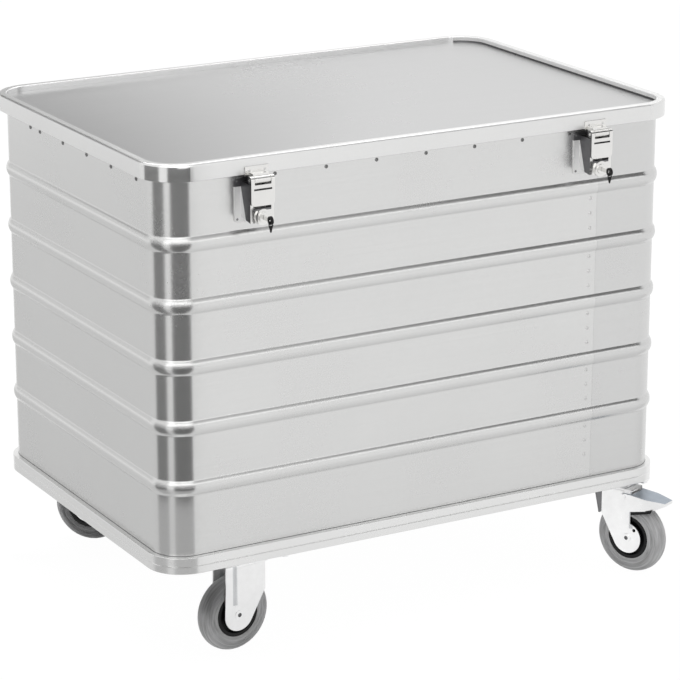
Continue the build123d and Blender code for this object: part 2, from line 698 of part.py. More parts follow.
def castor_plate():
    foot = CASTOR_HEIGHT - PLATE_THICK
    outline = RectangleRounded(PLATE_LENGTH, PLATE_WIDTH, PLATE_CORNER)
    plate = Pos(0, 0, foot) * extrude(outline, PLATE_THICK)
    holes = []
    for side_x in (-1, 1):
        for side_y in (-1, 1):
            x = side_x * BOLT_PITCH_X / 2
            y = side_y * BOLT_PITCH_Y / 2
            holes.append(rod_z(BOLT_HOLE_RADIUS, x, y, foot, CASTOR_HEIGHT))
    race = rod_z(RACE_RADIUS, 0, 0, foot - RACE_HEIGHT, foot)
    head_top = CROWN_FOOT - SWIVEL_GAP
    pin = rod_z(KINGPIN_RADIUS, 0, 0, head_top, foot)
    head = rod_z(KINGPIN_HEAD_RADIUS, 0, 0, head_top - KINGPIN_HEAD, head_top)
    return plate + race + pin + head - holes


def across(outline, half):
    """Extrudes an outline of X and Z to both sides of the castor's middle plane."""
    plane = Plane(origin=(0, half, 0), x_dir=(1, 0, 0), z_dir=(0, -1, 0))
    return extrude(plane * outline, 2 * half)


def leg_outline(inset):
    """Side of a leg, drawn in from its edges: broad at the crown, narrowing to a round eye."""
    lead = inset - FORK_LEAD
    tail = FORK_TAIL - inset
    eye = Pos(TRAIL, WHEEL_RADIUS) * Circle(FORK_EYE_RADIUS - inset)
    top = polygon(
        (lead, CROWN_TOP),
        (tail, CROWN_TOP),
        (tail, CROWN_TOP - FORK_WAIST),
        (lead, CROWN_TOP - FORK_SHOULDER),
    )
    return make_hull(top.edges() + eye.edges())


def fork_outline(braked):
    """Side of the fork, cut away behind where the brake goes."""
    outline = leg_outline(0)
    if braked:
        tail = FORK_BRAKED_TAIL
        ahead = polygon((-FORK_LEAD, 0), (tail, 0), (tail, CROWN_TOP), (-FORK_LEAD, CROWN_TOP))
        outline = (outline & ahead) + Pos(TRAIL, WHEEL_RADIUS) * Circle(FORK_EYE_RADIUS)
    return outline


def fork_channel():
    """The folded sheet of the fork before its sides are cut to shape."""
    inner = FORK_GAP / 2
    section = polygon(
        (-LEG_OUTER, 0),
        (-LEG_OUTER, CROWN_TOP),
        (LEG_OUTER, CROWN_TOP),
        (LEG_OUTER, 0),
        (inner, 0),
        (inner, CROWN_FOOT),
        (-inner, CROWN_FOOT),
        (-inner, 0),
    )
    section = rounded_near(section, [(-LEG_OUTER, CROWN_TOP), (LEG_OUTER, CROWN_TOP)], FORK_BEND)
    section = rounded_near(section, [(-inner, CROWN_FOOT), (inner, CROWN_FOOT)], FORK_BEND - FORK_SHEET)
    ahead = Plane(origin=(-FORK_LEAD, 0, 0), x_dir=(0, 1, 0), z_dir=(1, 0, 0))
    channel = extrude(ahead * section, FORK_LEAD + TRAIL + FORK_EYE_RADIUS)
    bend_foot = CROWN_FOOT - FORK_BEND
    return channel - block(FORK_CROWN_TAIL, TRAIL + FORK_EYE_RADIUS, -inner, inner, bend_foot, CROWN_TOP)


def leg_swage():
    """Raised panel pressed into the outer face of a leg, ahead of its trailing fold."""
    foot = WHEEL_RADIUS + AXLE_HEAD_RADIUS + SWAGE_AXLE_GAP
    top = CROWN_TOP - FORK_BEND
    tail = TRAIL + SWAGE_TAIL
    area = polygon((-FORK_LEAD, foot), (tail, foot), (tail, top), (-FORK_LEAD, top))
    panel = leg_outline(SWAGE_MARGIN) & area
    face = Plane(origin=(0, LEG_OUTER + SWAGE_DEPTH, 0), x_dir=(1, 0, 0), z_dir=(0, -1, 0))
    return extrude(face * panel, SWAGE_DEPTH + FORK_SHEET / 2)


def fork_guard():
    """Narrow strip that hangs from the crown ahead of a braked wheel."""
    top = GUARD_TOP_WIDTH / 2
    foot = GUARD_FOOT_WIDTH / 2
    low = CROWN_TOP - GUARD_DROP
    strip = polygon((-top, CROWN_FOOT), (top, CROWN_FOOT), (foot, low), (-foot, low))
    face = Plane(origin=(-GUARD_REACH, 0, 0), x_dir=(0, 1, 0), z_dir=(1, 0, 0))
    return extrude(face * strip, FORK_SHEET) + block(-GUARD_REACH, 0, -top, top, CROWN_FOOT, CROWN_TOP)


def fork(braked):
    shape = fork_channel() & across(fork_outline(braked), LEG_OUTER)
    shape += rod_z(CROWN_RADIUS, 0, 0, CROWN_FOOT, CROWN_TOP)
    if braked:
        head = PEDAL_OUTER + SWIVEL_GAP
        end = head + PEDAL_PIN_HEAD
        shape += fork_guard()
        shape += rod_y(PEDAL_PIN_RADIUS, PEDAL_PIVOT, -end, end, PEDAL_PIVOT_Z)
        for y0, y1 in ((-end, -head), (head, end)):
            shape += rod_y(PEDAL_PIN_HEAD_RADIUS, PEDAL_PIVOT, y0, y1, PEDAL_PIVOT_Z)
        reach = TRAIL + SPRING_HOLE_REACH
        rise = WHEEL_RADIUS + SPRING_HOLE_RISE
        shape -= rod_y(SPRING_HOLE_RADIUS, reach, -LEG_OUTER, LEG_OUTER, rise)
    else:
        swage = leg_swage()
        shape += [swage, mirror(swage, Plane.XZ)]
    shape -= rod_z(KINGPIN_RADIUS + RUNNING_FIT, 0, 0, CROWN_FOOT, CROWN_TOP)
    return shape - rod_y(AXLE_RADIUS + RUNNING_FIT, TRAIL, -LEG_OUTER, LEG_OUTER, WHEEL_RADIUS)


def axle():
    shank = rod_y(AXLE_RADIUS, TRAIL, -LEG_OUTER, LEG_OUTER, WHEEL_RADIUS)
    heads = []
    for y0, y1 in ((-LEG_OUTER - AXLE_HEAD, -LEG_OUTER), (LEG_OUTER, LEG_OUTER + AXLE_HEAD)):
        head = rod_y(AXLE_HEAD_RADIUS, TRAIL, y0, y1, WHEEL_RADIUS)
        heads.append(head - rod_y(AXLE_SOCKET_RADIUS, TRAIL, y0, y1, WHEEL_RADIUS))
    return shank + heads


def turned(section):
    """Revolves a section, drawn with x along the axle and y outward, about the axle."""
    plane = Plane(origin=(TRAIL, 0, WHEEL_RADIUS), x_dir=(0, 1, 0), z_dir=(1, 0, 0))
    return revolve(plane * section, Axis((TRAIL, 0, WHEEL_RADIUS), (0, 1, 0)), 360)


def tyre():
    half = TYRE_WIDTH / 2
    seat = CENTRE_WIDTH / 2
    shoulder = WHEEL_RADIUS - TYRE_SHOULDER
    crown = ThreePointArc((-half, shoulder), (0, WHEEL_RADIUS), (half, shoulder))
    inner = TYRE_SEAT_RADIUS
    sides = Polyline((half, shoulder), (seat, inner), (-seat, inner), (-half, shoulder))
    return turned(make_face([crown, sides]))


def wheel_centre():
    seat = CENTRE_WIDTH / 2
    web = CENTRE_WEB / 2
    hub = FORK_GAP / 2 - HUB_SIDE_GAP
    bore = AXLE_RADIUS + RUNNING_FIT
    rim = TYRE_SEAT_RADIUS - CENTRE_RIM_DEPTH
    section = polygon(
        (-hub, bore),
        (hub, bore),
        (hub, HUB_RADIUS),
        (web, HUB_RADIUS),
        (web, rim),
        (seat, rim),
        (seat, TYRE_SEAT_RADIUS),
        (-seat, TYRE_SEAT_RADIUS),
        (-seat, rim),
        (-web, rim),
        (-web, HUB_RADIUS),
        (-hub, HUB_RADIUS),
    )
    return turned(section)


def brake_pedal():
    """A folded channel that straddles the fork and narrows to its tip, with a pad for the tread."""
    top = CROWN_TOP - PEDAL_TOP_DROP
    tip = top - PEDAL_TIP_DROP
    foot = top - FLANK_DEPTH
    eye = Pos(PEDAL_PIVOT, PEDAL_PIVOT_Z) * Circle(PEDAL_EYE_RADIUS)
    flank = polygon(
        (FORK_BRAKED_TAIL, foot),
        (FLANK_END, top - FLANK_END_DEPTH),
        (PEDAL_REACH, tip - PEDAL_LIP),
        (PEDAL_REACH, tip),
        (FORK_BRAKED_TAIL, top),
    )
    start = PEDAL_PIVOT - PEDAL_EYE_RADIUS

    def narrowed(side, inset):
        half = PEDAL_OUTER - inset
        tip_half = PEDAL_TIP_WIDTH / 2 - inset
        plan = polygon(
            (start, -half),
            (PEDAL_TAPER_START, -half),
            (PEDAL_REACH, -tip_half),
            (PEDAL_REACH, tip_half),
            (PEDAL_TAPER_START, half),
            (start, half),
        )
        return across(side, half) & extrude(Pos(0, 0, foot) * plan, CROWN_TOP - foot)

    outer = narrowed(make_hull(flank.edges() + eye.edges()), 0)
    front = FORK_BRAKED_TAIL + PEDAL_FRONT_GAP
    end = PEDAL_REACH - PEDAL_SHEET
    inside = polygon(
        (start, foot),
        (start, CROWN_TOP),
        (front, CROWN_TOP),
        (front, top - PEDAL_SHEET),
        (end, tip - PEDAL_SHEET),
        (end, foot),
    )
    reach = PAD_START - TRAIL
    tread = WHEEL_RADIUS + math.sqrt(WHEEL_RADIUS**2 - reach**2)
    pad_half = PAD_WIDTH / 2
    pad = outer & block(PAD_START, PAD_START + PAD_LENGTH, -pad_half, pad_half, tread + PAD_GAP, top)
    bore = rod_y(PEDAL_PIN_RADIUS + RUNNING_FIT, PEDAL_PIVOT, -PEDAL_OUTER, PEDAL_OUTER, PEDAL_PIVOT_Z)
    return outer - narrowed(inside, PEDAL_SHEET) + pad - bore


def main():
    os.makedirs("parts", exist_ok=True)
    sheet = wall_sheet()
    save(sheet, "wall_sheet_left")
    save(Rot(0, 0, 180) * sheet, "wall_sheet_right")
    save(ring(base_section()), "base_frame")
    save(rounded_sheet(-SHEET - SLIDE_FIT, LEDGE_TOP, FLOOR_SHEET), "floor_panel")
    save(Compound(cross_channels()), "cross_channels")
    save(Compound(castor_bolts()), "castor_bolts")
    save(ring(frame_section()), "top_frame")

    save(ring(rim_section()), "lid_rim")
    save(rounded_sheet(-SLIDE_FIT, PANEL_SEAT, LID_SHEET), "lid_panel")

    for name, make in (
        ("hinge_leaves_lid", hinge_lid_leaf),
        ("hinge_leaves_body", hinge_body_leaf),
        ("hinge_pins", hinge_pin),
    ):
        save(Compound([Pos(x, 0, 0) * make() for x in HINGE_PLACES]), name)

    for side, x in LOCK_PLACES.items():
        place = Pos(x, -HALF[1], 0)
        save(place * lock_case(), "lock_case_" + side)
        save(place * lock_plug(), "lock_plug_" + side)
        save(place * lock_bolt(), "lock_bolt_" + side)
        save(place * hasp_bracket(), "hasp_bracket_" + side)
        save(place * hasp(), "hasp_" + side)
        save(place * key_shape(), "key_" + side)
        save(place * key_head(), "key_head_" + side)
        save(place * key_ring(), "key_ring_" + side)

    for corner, (x, y) in castor_places().items():
        braked = corner in BRAKED
        save(Pos(x, y, 0) * castor_plate(), "castor_plate_" + corner)
        place = Pos(x, y, 0) * Rot(0, 0, CASTOR_HEADINGS[corner])
        save(place * fork(braked), "fork_" + corner)
        save(place * axle(), "axle_" + corner)
        save(place * wheel_centre(), "wheel_centre_" + corner)
        save(place * tyre(), "tyre_" + corner)
        if braked:
            save(place * brake_pedal(), "brake_pedal_" + corner)


if __name__ == "__main__":
    main()
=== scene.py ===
"""A lockable transport cart: beaded sheet walls, edge extrusions, hasp locks, castors and their finishes."""

import json
import math

import bmesh
import bpy
from mathutils import Matrix, Vector

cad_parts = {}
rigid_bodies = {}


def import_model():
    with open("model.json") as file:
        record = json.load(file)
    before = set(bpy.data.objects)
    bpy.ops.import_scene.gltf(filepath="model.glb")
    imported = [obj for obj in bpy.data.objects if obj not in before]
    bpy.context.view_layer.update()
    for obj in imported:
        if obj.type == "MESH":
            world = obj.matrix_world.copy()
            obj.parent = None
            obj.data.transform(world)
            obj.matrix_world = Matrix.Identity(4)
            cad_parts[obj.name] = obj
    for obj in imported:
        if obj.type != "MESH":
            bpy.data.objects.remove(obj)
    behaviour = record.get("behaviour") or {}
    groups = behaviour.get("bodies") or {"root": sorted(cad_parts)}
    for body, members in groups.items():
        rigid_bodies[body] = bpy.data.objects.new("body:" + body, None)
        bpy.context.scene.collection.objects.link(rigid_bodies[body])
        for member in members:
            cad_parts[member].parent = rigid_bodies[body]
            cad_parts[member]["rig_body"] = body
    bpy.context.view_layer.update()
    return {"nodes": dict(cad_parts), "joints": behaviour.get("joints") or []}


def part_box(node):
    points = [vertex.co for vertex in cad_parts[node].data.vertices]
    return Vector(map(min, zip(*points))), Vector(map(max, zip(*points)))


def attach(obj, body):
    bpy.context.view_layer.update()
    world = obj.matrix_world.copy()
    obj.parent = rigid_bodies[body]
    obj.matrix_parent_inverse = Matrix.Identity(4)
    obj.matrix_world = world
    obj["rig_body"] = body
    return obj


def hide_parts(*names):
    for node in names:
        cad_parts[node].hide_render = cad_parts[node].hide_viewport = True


bl_info = {
    "name": "Lockable transport cart",
    "version": (1, 0, 0),
    "blender": (4, 5, 0),
    "location": "3D View > Sidebar > Cart",
    "description": "Dresses a beaded aluminium cart with its sheets, fittings, castors and finishes",
    "category": "Object",
}

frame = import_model()
JOINTS = {joint["name"]: joint for joint in frame["joints"]}
CASTORS = ("fl", "fr", "rr", "rl")
BRAKED = ("fr", "rr")
LOCKS = ("left", "right")
UP = Vector((0.0, 0.0, 1.0))
ALONG_X = Vector((1.0, 0.0, 0.0))

# Sizes of the solids that the finishes follow, in metres
PANEL_FIT = 0.0001
LAP_FIT = 0.00005
LAP_END_GAP = 0.004
LOCK_PLATE = 0.002
BOSS_PROUD = 0.003
HASP_SLOT_DROP = 0.020
HINGE_PLACE = 0.26
SHEET_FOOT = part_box("wall_sheet_left")[0].z
SHEET_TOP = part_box("wall_sheet_left")[1].z
SKIRT_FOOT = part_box("lid_rim")[0].z
PANEL_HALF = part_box("lid_panel")[1]
PLATE_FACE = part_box("lock_case_left")[1].y - LOCK_PLATE
CASE_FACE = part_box("lock_case_left")[0].y + BOSS_PROUD
SLOT_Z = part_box("hasp_left")[1].z - HASP_SLOT_DROP

# Mesh work: how near points have to be to count as one, in metres, angles in degrees, and how much of a
# face's direction has to lie along another one
WELD = 2e-6
TOUCH = 1e-6
FLAT_WITHIN = 0.3
EASED_FROM = 38.0
FACING = 0.7
SQUARE_ON = 0.9
LEANING = 0.3
ROUNDING = 0.1


def length(name, description, default):
    return bpy.props.FloatProperty(
        name=name, description=description, default=default, min=0.0, precision=5, unit="LENGTH"
    )


def colour(name, description, default):
    return bpy.props.FloatVectorProperty(
        name=name, description=description, default=default, size=3, min=0.0, max=1.0, subtype="COLOR"
    )


class CartSheets(bpy.types.PropertyGroup):
    """Sizes of the two wall sheets"""

    box_length: length("Box length", "Left wall to right wall, along X", 2 * (PANEL_HALF.x + PANEL_FIT))
    box_width: length("Box width", "Front wall to rear wall, along Y", 2 * (PANEL_HALF.y + PANEL_FIT))
    corner_radius: length("Corner radius", "Outside radius of the four upright corners", 0.050)
    thickness: length("Sheet", "Thickness of the wall sheet", 0.0015)
    bead_count: bpy.props.IntProperty(
        name="Beads", description="Stiffening beads rolled into the wall", default=5, min=1, max=12
    )
    bead_pitch: length("Bead pitch", "Height from one bead to the next", 0.096)
    first_bead: length("First bead", "Middle of the lowest bead, over the foot of the sheet", 0.119)
    bead_height: length("Bead height", "Height of a bead at its root", 0.024)
    bead_depth: length("Bead depth", "How far a bead stands out of the wall", 0.0046)
    bead_blend: length("Bead blend", "Radius where a bead runs into the flat wall", 0.0035)
    seam: length("Seam", "Distance of the lap joints from the middle of the cart", 0.320)
    seam_gap: length("Seam gap", "Open line beside the edge of the outer sheet", 0.00015)
    lap: length("Lap", "Width of the strip that lies under the outer sheet", 0.025)


class CartRivets(bpy.types.PropertyGroup):
    """Sizes of the rivets"""

    head_radius: length("Head radius", "Radius of a blind rivet's head", 0.0030)
    head_height: length("Head height", "Height of a blind rivet's head", 0.0011)
    rim_drop: length("Rim row drop", "Rivet row under the foot of the lid's skirt", 0.0075)
    rim_pitch: length("Rim row pitch", "Distance between the rivets of the edge frame", 0.088)
    lap_pitch: length("Lap pitch", "Distance between the rivets of a lap joint", 0.0245)
    lap_inset: length("Lap inset", "Rivet column's distance from the seam", 0.012)


class CartFinishes(bpy.types.PropertyGroup):
    """Colours of the finishes"""

    sheet: colour("Sheet", "Mill-finish aluminium sheet", (0.685, 0.685, 0.68))
    other_sheet: colour("Second sheet", "Mill-finish aluminium of the right sheet", (0.645, 0.645, 0.642))
    lid: colour("Lid sheet", "Mill-finish aluminium of the lid", (0.55, 0.55, 0.55))
    rim: colour("Rim", "Anodised aluminium of the lid's edge", (0.76, 0.76, 0.755))
    # Painted highlight: a lighter copy of the rim's colour, given to the rim's inward faces so that they read
    # lit
    bright: colour("Bright edge", "Bare bright aluminium inside the lid's edge", (0.90, 0.90, 0.90))
    extrusion: colour("Extrusion", "Anodised aluminium of the base and top frames", (0.82, 0.82, 0.815))
    nickel: colour("Nickel", "Nickel plate of locks and keys", (0.78, 0.775, 0.76))
    # Pale plate of the locks, also used as painted light: on the rim's right inward face and on the lower
    # part of the lock cases' cheeks
    satin_and_painted_light: colour("Satin nickel", "Brushed plate of the locks", (0.93, 0.93, 0.925))
    # Dark cast metal of the lock cases, also used as painted shade: in slots and hollows, on the hasps'
    # sides, at the foot of the rim's right inward face, along the wall's foot, on the fork guards and in the
    # axle sockets
    casting_and_painted_shade: colour("Casting", "Dark die-cast metal of the lock cases", (0.17, 0.17, 0.175))
    rivet: colour("Rivet", "Dull steel of the rim's rivets", (0.20, 0.20, 0.20))
    soft_rivet: colour("Soft rivet", "Dull aluminium of the lap's rivets", (0.66, 0.66, 0.655))
    zinc: colour("Zinc", "Bright zinc plate of the castors", (0.97, 0.97, 0.97))
    # Painted reflection: a darker blue-grey for the pedals' upward faces, which read darker than their sides
    pedal_top_shade: colour("Blued zinc", "Worn blue-grey zinc on the tread of the pedals", (0.37, 0.41, 0.46))
    # Painted shade: a darker zinc along the fold of each fork leg
    dull: colour("Dull zinc", "Dull zinc in the fold of a fork", (0.68, 0.69, 0.70))
    rubber: colour("Rubber", "Non-marking grey tyre rubber", (0.62, 0.62, 0.625))
    lip: colour("Tyre lip", "Pale bare edge where the tyre meets its centre", (0.66, 0.66, 0.66))
    plastic: colour("Plastic", "Black plastic of wheel centres and key heads", (0.004, 0.004, 0.0045))


class CartStage(bpy.types.PropertyGroup):
    """Camera and studio"""

    camera_place: bpy.props.FloatVectorProperty(
        name="Camera place", description="Where the camera stands", default=(-2.3029, -4.1126, 1.8484),
        size=3, subtype="TRANSLATION",
    )
    camera_turn: bpy.props.FloatVectorProperty(
        name="Camera turn", description="How the camera is turned",
        default=(math.radians(72.78), 0.0, math.radians(-29.44)), size=3, subtype="EULER",
    )
    camera_lens: bpy.props.FloatProperty(
        name="Lens", description="Focal length in millimetres on a 36 mm sensor", default=157.15, min=20.0
    )
    room_light: bpy.props.FloatProperty(
        name="Room light", description="Level of the white room on matt surfaces", default=0.75, min=0.0
    )
    lamp_level: bpy.props.FloatProperty(
        name="Lamp level", description="Brightness of the soft lamps, where 1 is white", default=1.5, min=0.0
    )


# Node helpers
class NodeDesk:
    """Adds nodes to a tree and links them, so that a rule reads as a few sums."""

    def __init__(self, tree):
        self.tree = tree

    def feed(self, socket, value):
        if isinstance(value, bpy.types.NodeSocket):
            self.tree.links.new(value, socket)
        else:
            socket.default_value = value

    def add(self, kind, inputs=None, **options):
        node = self.tree.nodes.new(kind)
        for key, value in options.items():
            setattr(node, key, value)
        for key, value in (inputs or {}).items():
            self.feed(node.inputs[key], value)
        return node

    def sum(self, operation, *values):
        node = self.add("ShaderNodeMath", operation=operation)
        for socket, value in zip(node.inputs, values):
            self.feed(socket, value)
        return node.outputs[0]

    def choose(self, flag, if_set, otherwise):
        change = self.sum("SUBTRACT", if_set, otherwise)
        return self.sum("MULTIPLY_ADD", change, flag, otherwise)


def geometry_tree(name, sockets):
    """A Geometry Nodes tree with named inputs; returns the tree, its desk and its inputs by name."""
    tree = bpy.data.node_groups.new(name, "GeometryNodeTree")
    tree.interface.new_socket("Geometry", in_out="OUTPUT", socket_type="NodeSocketGeometry")
    tree.interface.new_socket("Geometry", in_out="INPUT", socket_type="NodeSocketGeometry")
    for label, kind in sockets:
        tree.interface.new_socket(label, in_out="INPUT", socket_type="NodeSocket" + kind)
    desk = NodeDesk(tree)
    entry = desk.add("NodeGroupInput")
    return tree, desk, {socket.name: socket for socket in entry.outputs if socket.name}


def close_tree(desk, geometry, material):
    """Ends a tree in real geometry that carries its material."""
    real = desk.add("GeometryNodeRealizeInstances", {"Geometry": geometry})
    painted = desk.add("GeometryNodeSetMaterial", {"Geometry": real.outputs[0], "Material": material})
    end = desk.add("NodeGroupOutput")
    desk.tree.links.new(painted.outputs[0], end.inputs[0])


def run_tree(obj, tree, values):
    """Runs a tree on an object and leaves its result there as a plain mesh."""
    modifier = obj.modifiers.new(tree.name, "NODES")
    modifier.node_group = tree
    for item in tree.interface.items_tree:
        if item.in_out == "INPUT" and item.name in values:
            modifier[item.identifier] = values[item.name]
    return settle(obj)


# Mesh helpers
def new_object(name, mesh):
    obj = bpy.data.objects.new(name, mesh)
    bpy.context.scene.collection.objects.link(obj)
    return obj


def mesh_from(name, vertices, edges=(), faces=()):
    mesh = bpy.data.meshes.new(name)
    mesh.from_pydata([tuple(v) for v in vertices], list(edges), list(faces))
    mesh.validate()
    return mesh


def settle(obj):
    """Turns an object's modifiers into a plain mesh."""
    graph = bpy.context.evaluated_depsgraph_get()
    mesh = bpy.data.meshes.new_from_object(obj.evaluated_get(graph))
    obj.modifiers.clear()
    obj.data = mesh
    return obj


def shade(obj, angle=32.0):
    """Smooth shading with crisp folds, and flat faces that keep their own direction."""
    obj.data.shade_smooth()
    obj.data.set_sharp_from_angle(angle=math.radians(angle))
    weighted = obj.modifiers.new("Flat faces first", "WEIGHTED_NORMAL")
    weighted.keep_sharp = True
    return settle(obj)


def paint(obj, material):
    obj.data.materials.clear()
    obj.data.materials.append(material)


def body_of(node):
    return frame["nodes"][node]["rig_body"]


def stand_for(piece, node):
    """Puts a finished piece in the place of a CAD node."""
    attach(piece, body_of(node))
    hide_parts(node)


def merged_copy(name, node):
    """A copy of a CAD node's mesh with its triangles joined and its flat faces whole."""
    shape = bmesh.new()
    shape.from_mesh(frame["nodes"][node].data)
    bmesh.ops.remove_doubles(shape, verts=shape.verts, dist=WELD)
    bmesh.ops.dissolve_limit(
        shape, angle_limit=math.radians(FLAT_WITHIN), verts=shape.verts, edges=shape.edges, delimit={"NORMAL"}
    )
    mesh = bpy.data.meshes.new(name)
    shape.to_mesh(mesh)
    shape.free()
    if "custom_normal" in mesh.attributes:
        mesh.attributes.remove(mesh.attributes["custom_normal"])
    return new_object(name, mesh)


def cut_along(piece, planes):
    """Cuts a piece's faces along (point, direction) planes, so that an area can take its own finish."""
    shape = bmesh.new()
    shape.from_mesh(piece.data)
    for point, direction in planes:
        everything = shape.verts[:] + shape.edges[:] + shape.faces[:]
        bmesh.ops.bisect_plane(shape, geom=everything, dist=TOUCH, plane_co=point, plane_no=direction)
    shape.to_mesh(piece.data)
    shape.free()


def ease(piece, width, from_angle):
    """Rounds the edges of a piece that turn by more than an angle."""
    bevel = piece.modifiers.new("Eased edges", "BEVEL")
    bevel.width = width
    bevel.segments = 2
    bevel.limit_method = "ANGLE"
    bevel.angle_limit = math.radians(from_angle)
    bevel.use_clamp_overlap = True
    settle(piece)


def finished_node(node, material, edge=0.0, reshape=None):
    """A CAD node with smooth curves, eased edges where it has an edge width, and cuts for its finishes."""
    piece = merged_copy(node + ".look", node)
    if edge:
        ease(piece, edge, EASED_FROM)
    if reshape:
        reshape(piece)
    paint(piece, material)
    shade(piece)
    stand_for(piece, node)
    return piece


def refinish(piece, material, choose):
    """Gives the chosen faces of a piece another finish."""
    piece.data.materials.append(material)
    index = len(piece.data.materials) - 1
    for face in piece.data.polygons:
        if choose(face):
            face.material_index = index


def lathe(name, outline, origin, axis, steps):
    """Turns an outline of (along, radius) points, closed on itself, about an axis."""
    along = Vector(axis).normalized()
    out = along.orthogonal().normalized()
    count = len(outline)
    vertices = []
    for k in range(steps):
        turn = Matrix.Rotation(2 * math.pi * k / steps, 3, along)
        vertices += [Vector(origin) + along * a + turn @ out * r for a, r in outline]
    faces = []
    for k in range(steps):
        for i in range(count):
            a, b = k * count, (k + 1) % steps * count
            faces.append((a + i, a + (i + 1) % count, b + (i + 1) % count, b + i))
    obj = new_object(name, mesh_from(name, vertices, faces=faces))
    point_outwards(obj)
    return obj


def point_outwards(obj):
    """Closes the seams of a mesh and turns its faces outwards."""
    shape = bmesh.new()
    shape.from_mesh(obj.data)
    bmesh.ops.remove_doubles(shape, verts=shape.verts, dist=TOUCH)
    bmesh.ops.recalc_face_normals(shape, faces=shape.faces)
    shape.to_mesh(obj.data)
    shape.free()


def joined(name, objects):
    """One object of several; the others go."""
    shape = bmesh.new()
    for obj in objects:
        shape.from_mesh(obj.data)
        bpy.data.objects.remove(obj)
    mesh = bpy.data.meshes.new(name)
    shape.to_mesh(mesh)
    shape.free()
    return new_object(name, mesh)


# Shared surface effects
def shader_group(name, inputs, outputs):
    tree = bpy.data.node_groups.new(name, "ShaderNodeTree")
    for label, kind, default in inputs:
        socket = tree.interface.new_socket(label, in_out="INPUT", socket_type="NodeSocket" + kind)
        socket.default_value = default
    for label, kind in outputs:
        tree.interface.new_socket(label, in_out="OUTPUT", socket_type="NodeSocket" + kind)
    desk = NodeDesk(tree)
    entry = desk.add("NodeGroupInput").outputs
    end = desk.add("NodeGroupOutput").inputs
    return tree, desk, entry, end


def between(desk, value, low, high, start=0.0, finish=1.0):
    node = desk.add("ShaderNodeMapRange", {"Value": value, "From Min": start, "From Max": finish})
    desk.feed(node.inputs["To Min"], low)
    desk.feed(node.inputs["To Max"], high)
    return node.outputs["Result"]


def drawn_lines():
    """Fine lines that rolling or drawing leaves along a sheet or an extrusion."""
    inputs = [("Stretch", "Vector", (1.0, 1.0, 1.0)), ("Amount", "Float", 0.05)]
    tree, desk, entry, end = shader_group("Drawn lines", inputs, [("Tone", "Float"), ("Height", "Float")])
    place = desk.add("ShaderNodeTexCoord").outputs["Object"]
    mapped = desk.add("ShaderNodeMapping", {"Vector": place, "Scale": entry["Stretch"]}).outputs[0]
    noise = desk.add("ShaderNodeTexNoise", {"Vector": mapped, "Scale": 1.0, "Detail": 5.0, "Roughness": 0.62})
    low = desk.sum("SUBTRACT", 1.0, entry["Amount"])
    high = desk.sum("ADD", 1.0, entry["Amount"])
    desk.feed(end["Tone"], between(desk, noise.outputs[0], low, high, 0.25, 0.75))
    desk.feed(end["Height"], noise.outputs[0])
    return tree


def handling_marks():
    """Broad soft patches where a surface is a little duller or brighter."""
    inputs = [
        ("Size", "Float", 6.0), ("Dull", "Float", 0.3), ("Bright", "Float", 0.2), ("Tint", "Float", 0.03),
    ]
    outputs = [("Roughness", "Float"), ("Tone", "Float")]
    tree, desk, entry, end = shader_group("Handling marks", inputs, outputs)
    place = desk.add("ShaderNodeTexCoord").outputs["Object"]
    noise = desk.add("ShaderNodeTexNoise", {"Vector": place, "Scale": entry["Size"], "Detail": 4.0})
    fine = desk.sum("MULTIPLY", entry["Size"], 23.0)
    specks = desk.add("ShaderNodeTexNoise", {"Vector": place, "Scale": fine, "Detail": 3.0})
    patch = desk.sum("MULTIPLY_ADD", specks.outputs[0], 0.3, desk.sum("MULTIPLY", noise.outputs[0], 0.7))
    desk.feed(end["Roughness"], between(desk, patch, entry["Bright"], entry["Dull"], 0.3, 0.7))
    low = desk.sum("SUBTRACT", 1.0, entry["Tint"])
    desk.feed(end["Tone"], between(desk, patch, 1.0, low, 0.35, 0.7))
    return tree


def grain_bumps():
    """Fine pitting of cast, plated or moulded skins."""
    tree, desk, entry, end = shader_group("Grain", [("Size", "Float", 900.0)], [("Height", "Float")])
    place = desk.add("ShaderNodeTexCoord").outputs["Object"]
    noise = desk.add("ShaderNodeTexNoise", {"Vector": place, "Scale": entry["Size"], "Detail": 2.0})
    desk.feed(end["Height"], noise.outputs[0])
    return tree


def effect(name):
    made = {"Drawn lines": drawn_lines, "Handling marks": handling_marks, "Grain": grain_bumps}
    return bpy.data.node_groups.get(name) or made[name]()


def empty_material(name):
    """A material with nothing in it but its output; returns it with its desk and that output's socket."""
    material = bpy.data.materials.new(name)
    material.use_nodes = True
    material.node_tree.nodes.clear()
    desk = NodeDesk(material.node_tree)
    return material, desk, desk.add("ShaderNodeOutputMaterial").inputs["Surface"]


def blank_material(name):
    """A material with one plain shader, which is returned too."""
    material, desk, surface = empty_material(name)
    skin = desk.add("ShaderNodeBsdfPrincipled")
    desk.feed(surface, skin.outputs[0])
    return material, desk, skin


def toned(desk, base, *tones):
    """A colour multiplied by tones that vary over the surface."""
    level = tones[0]
    for tone in tones[1:]:
        level = desk.sum("MULTIPLY", level, tone)
    grey = desk.add("ShaderNodeCombineColor", {"Red": level, "Green": level, "Blue": level}).outputs[0]
    mix = desk.add("ShaderNodeMix", data_type="RGBA", blend_type="MULTIPLY")
    mix.inputs["Factor"].default_value = 1.0
    tinted = [socket for socket in mix.inputs if socket.type == "RGBA"]
    tinted[0].default_value = (*base, 1.0)
    desk.feed(tinted[1], grey)
    return [socket for socket in mix.outputs if socket.type == "RGBA"][0]


def add_effect(desk, name, values):
    """Places a shared effect in a material with the material's own values; returns its outputs."""
    return desk.add("ShaderNodeGroup", values, node_tree=effect(name)).outputs


def add_relief(desk, skin, height, strength, depth):
    bump = desk.add("ShaderNodeBump", {"Height": height, "Strength": strength, "Distance": depth})
    desk.feed(skin.inputs["Normal"], bump.outputs[0])


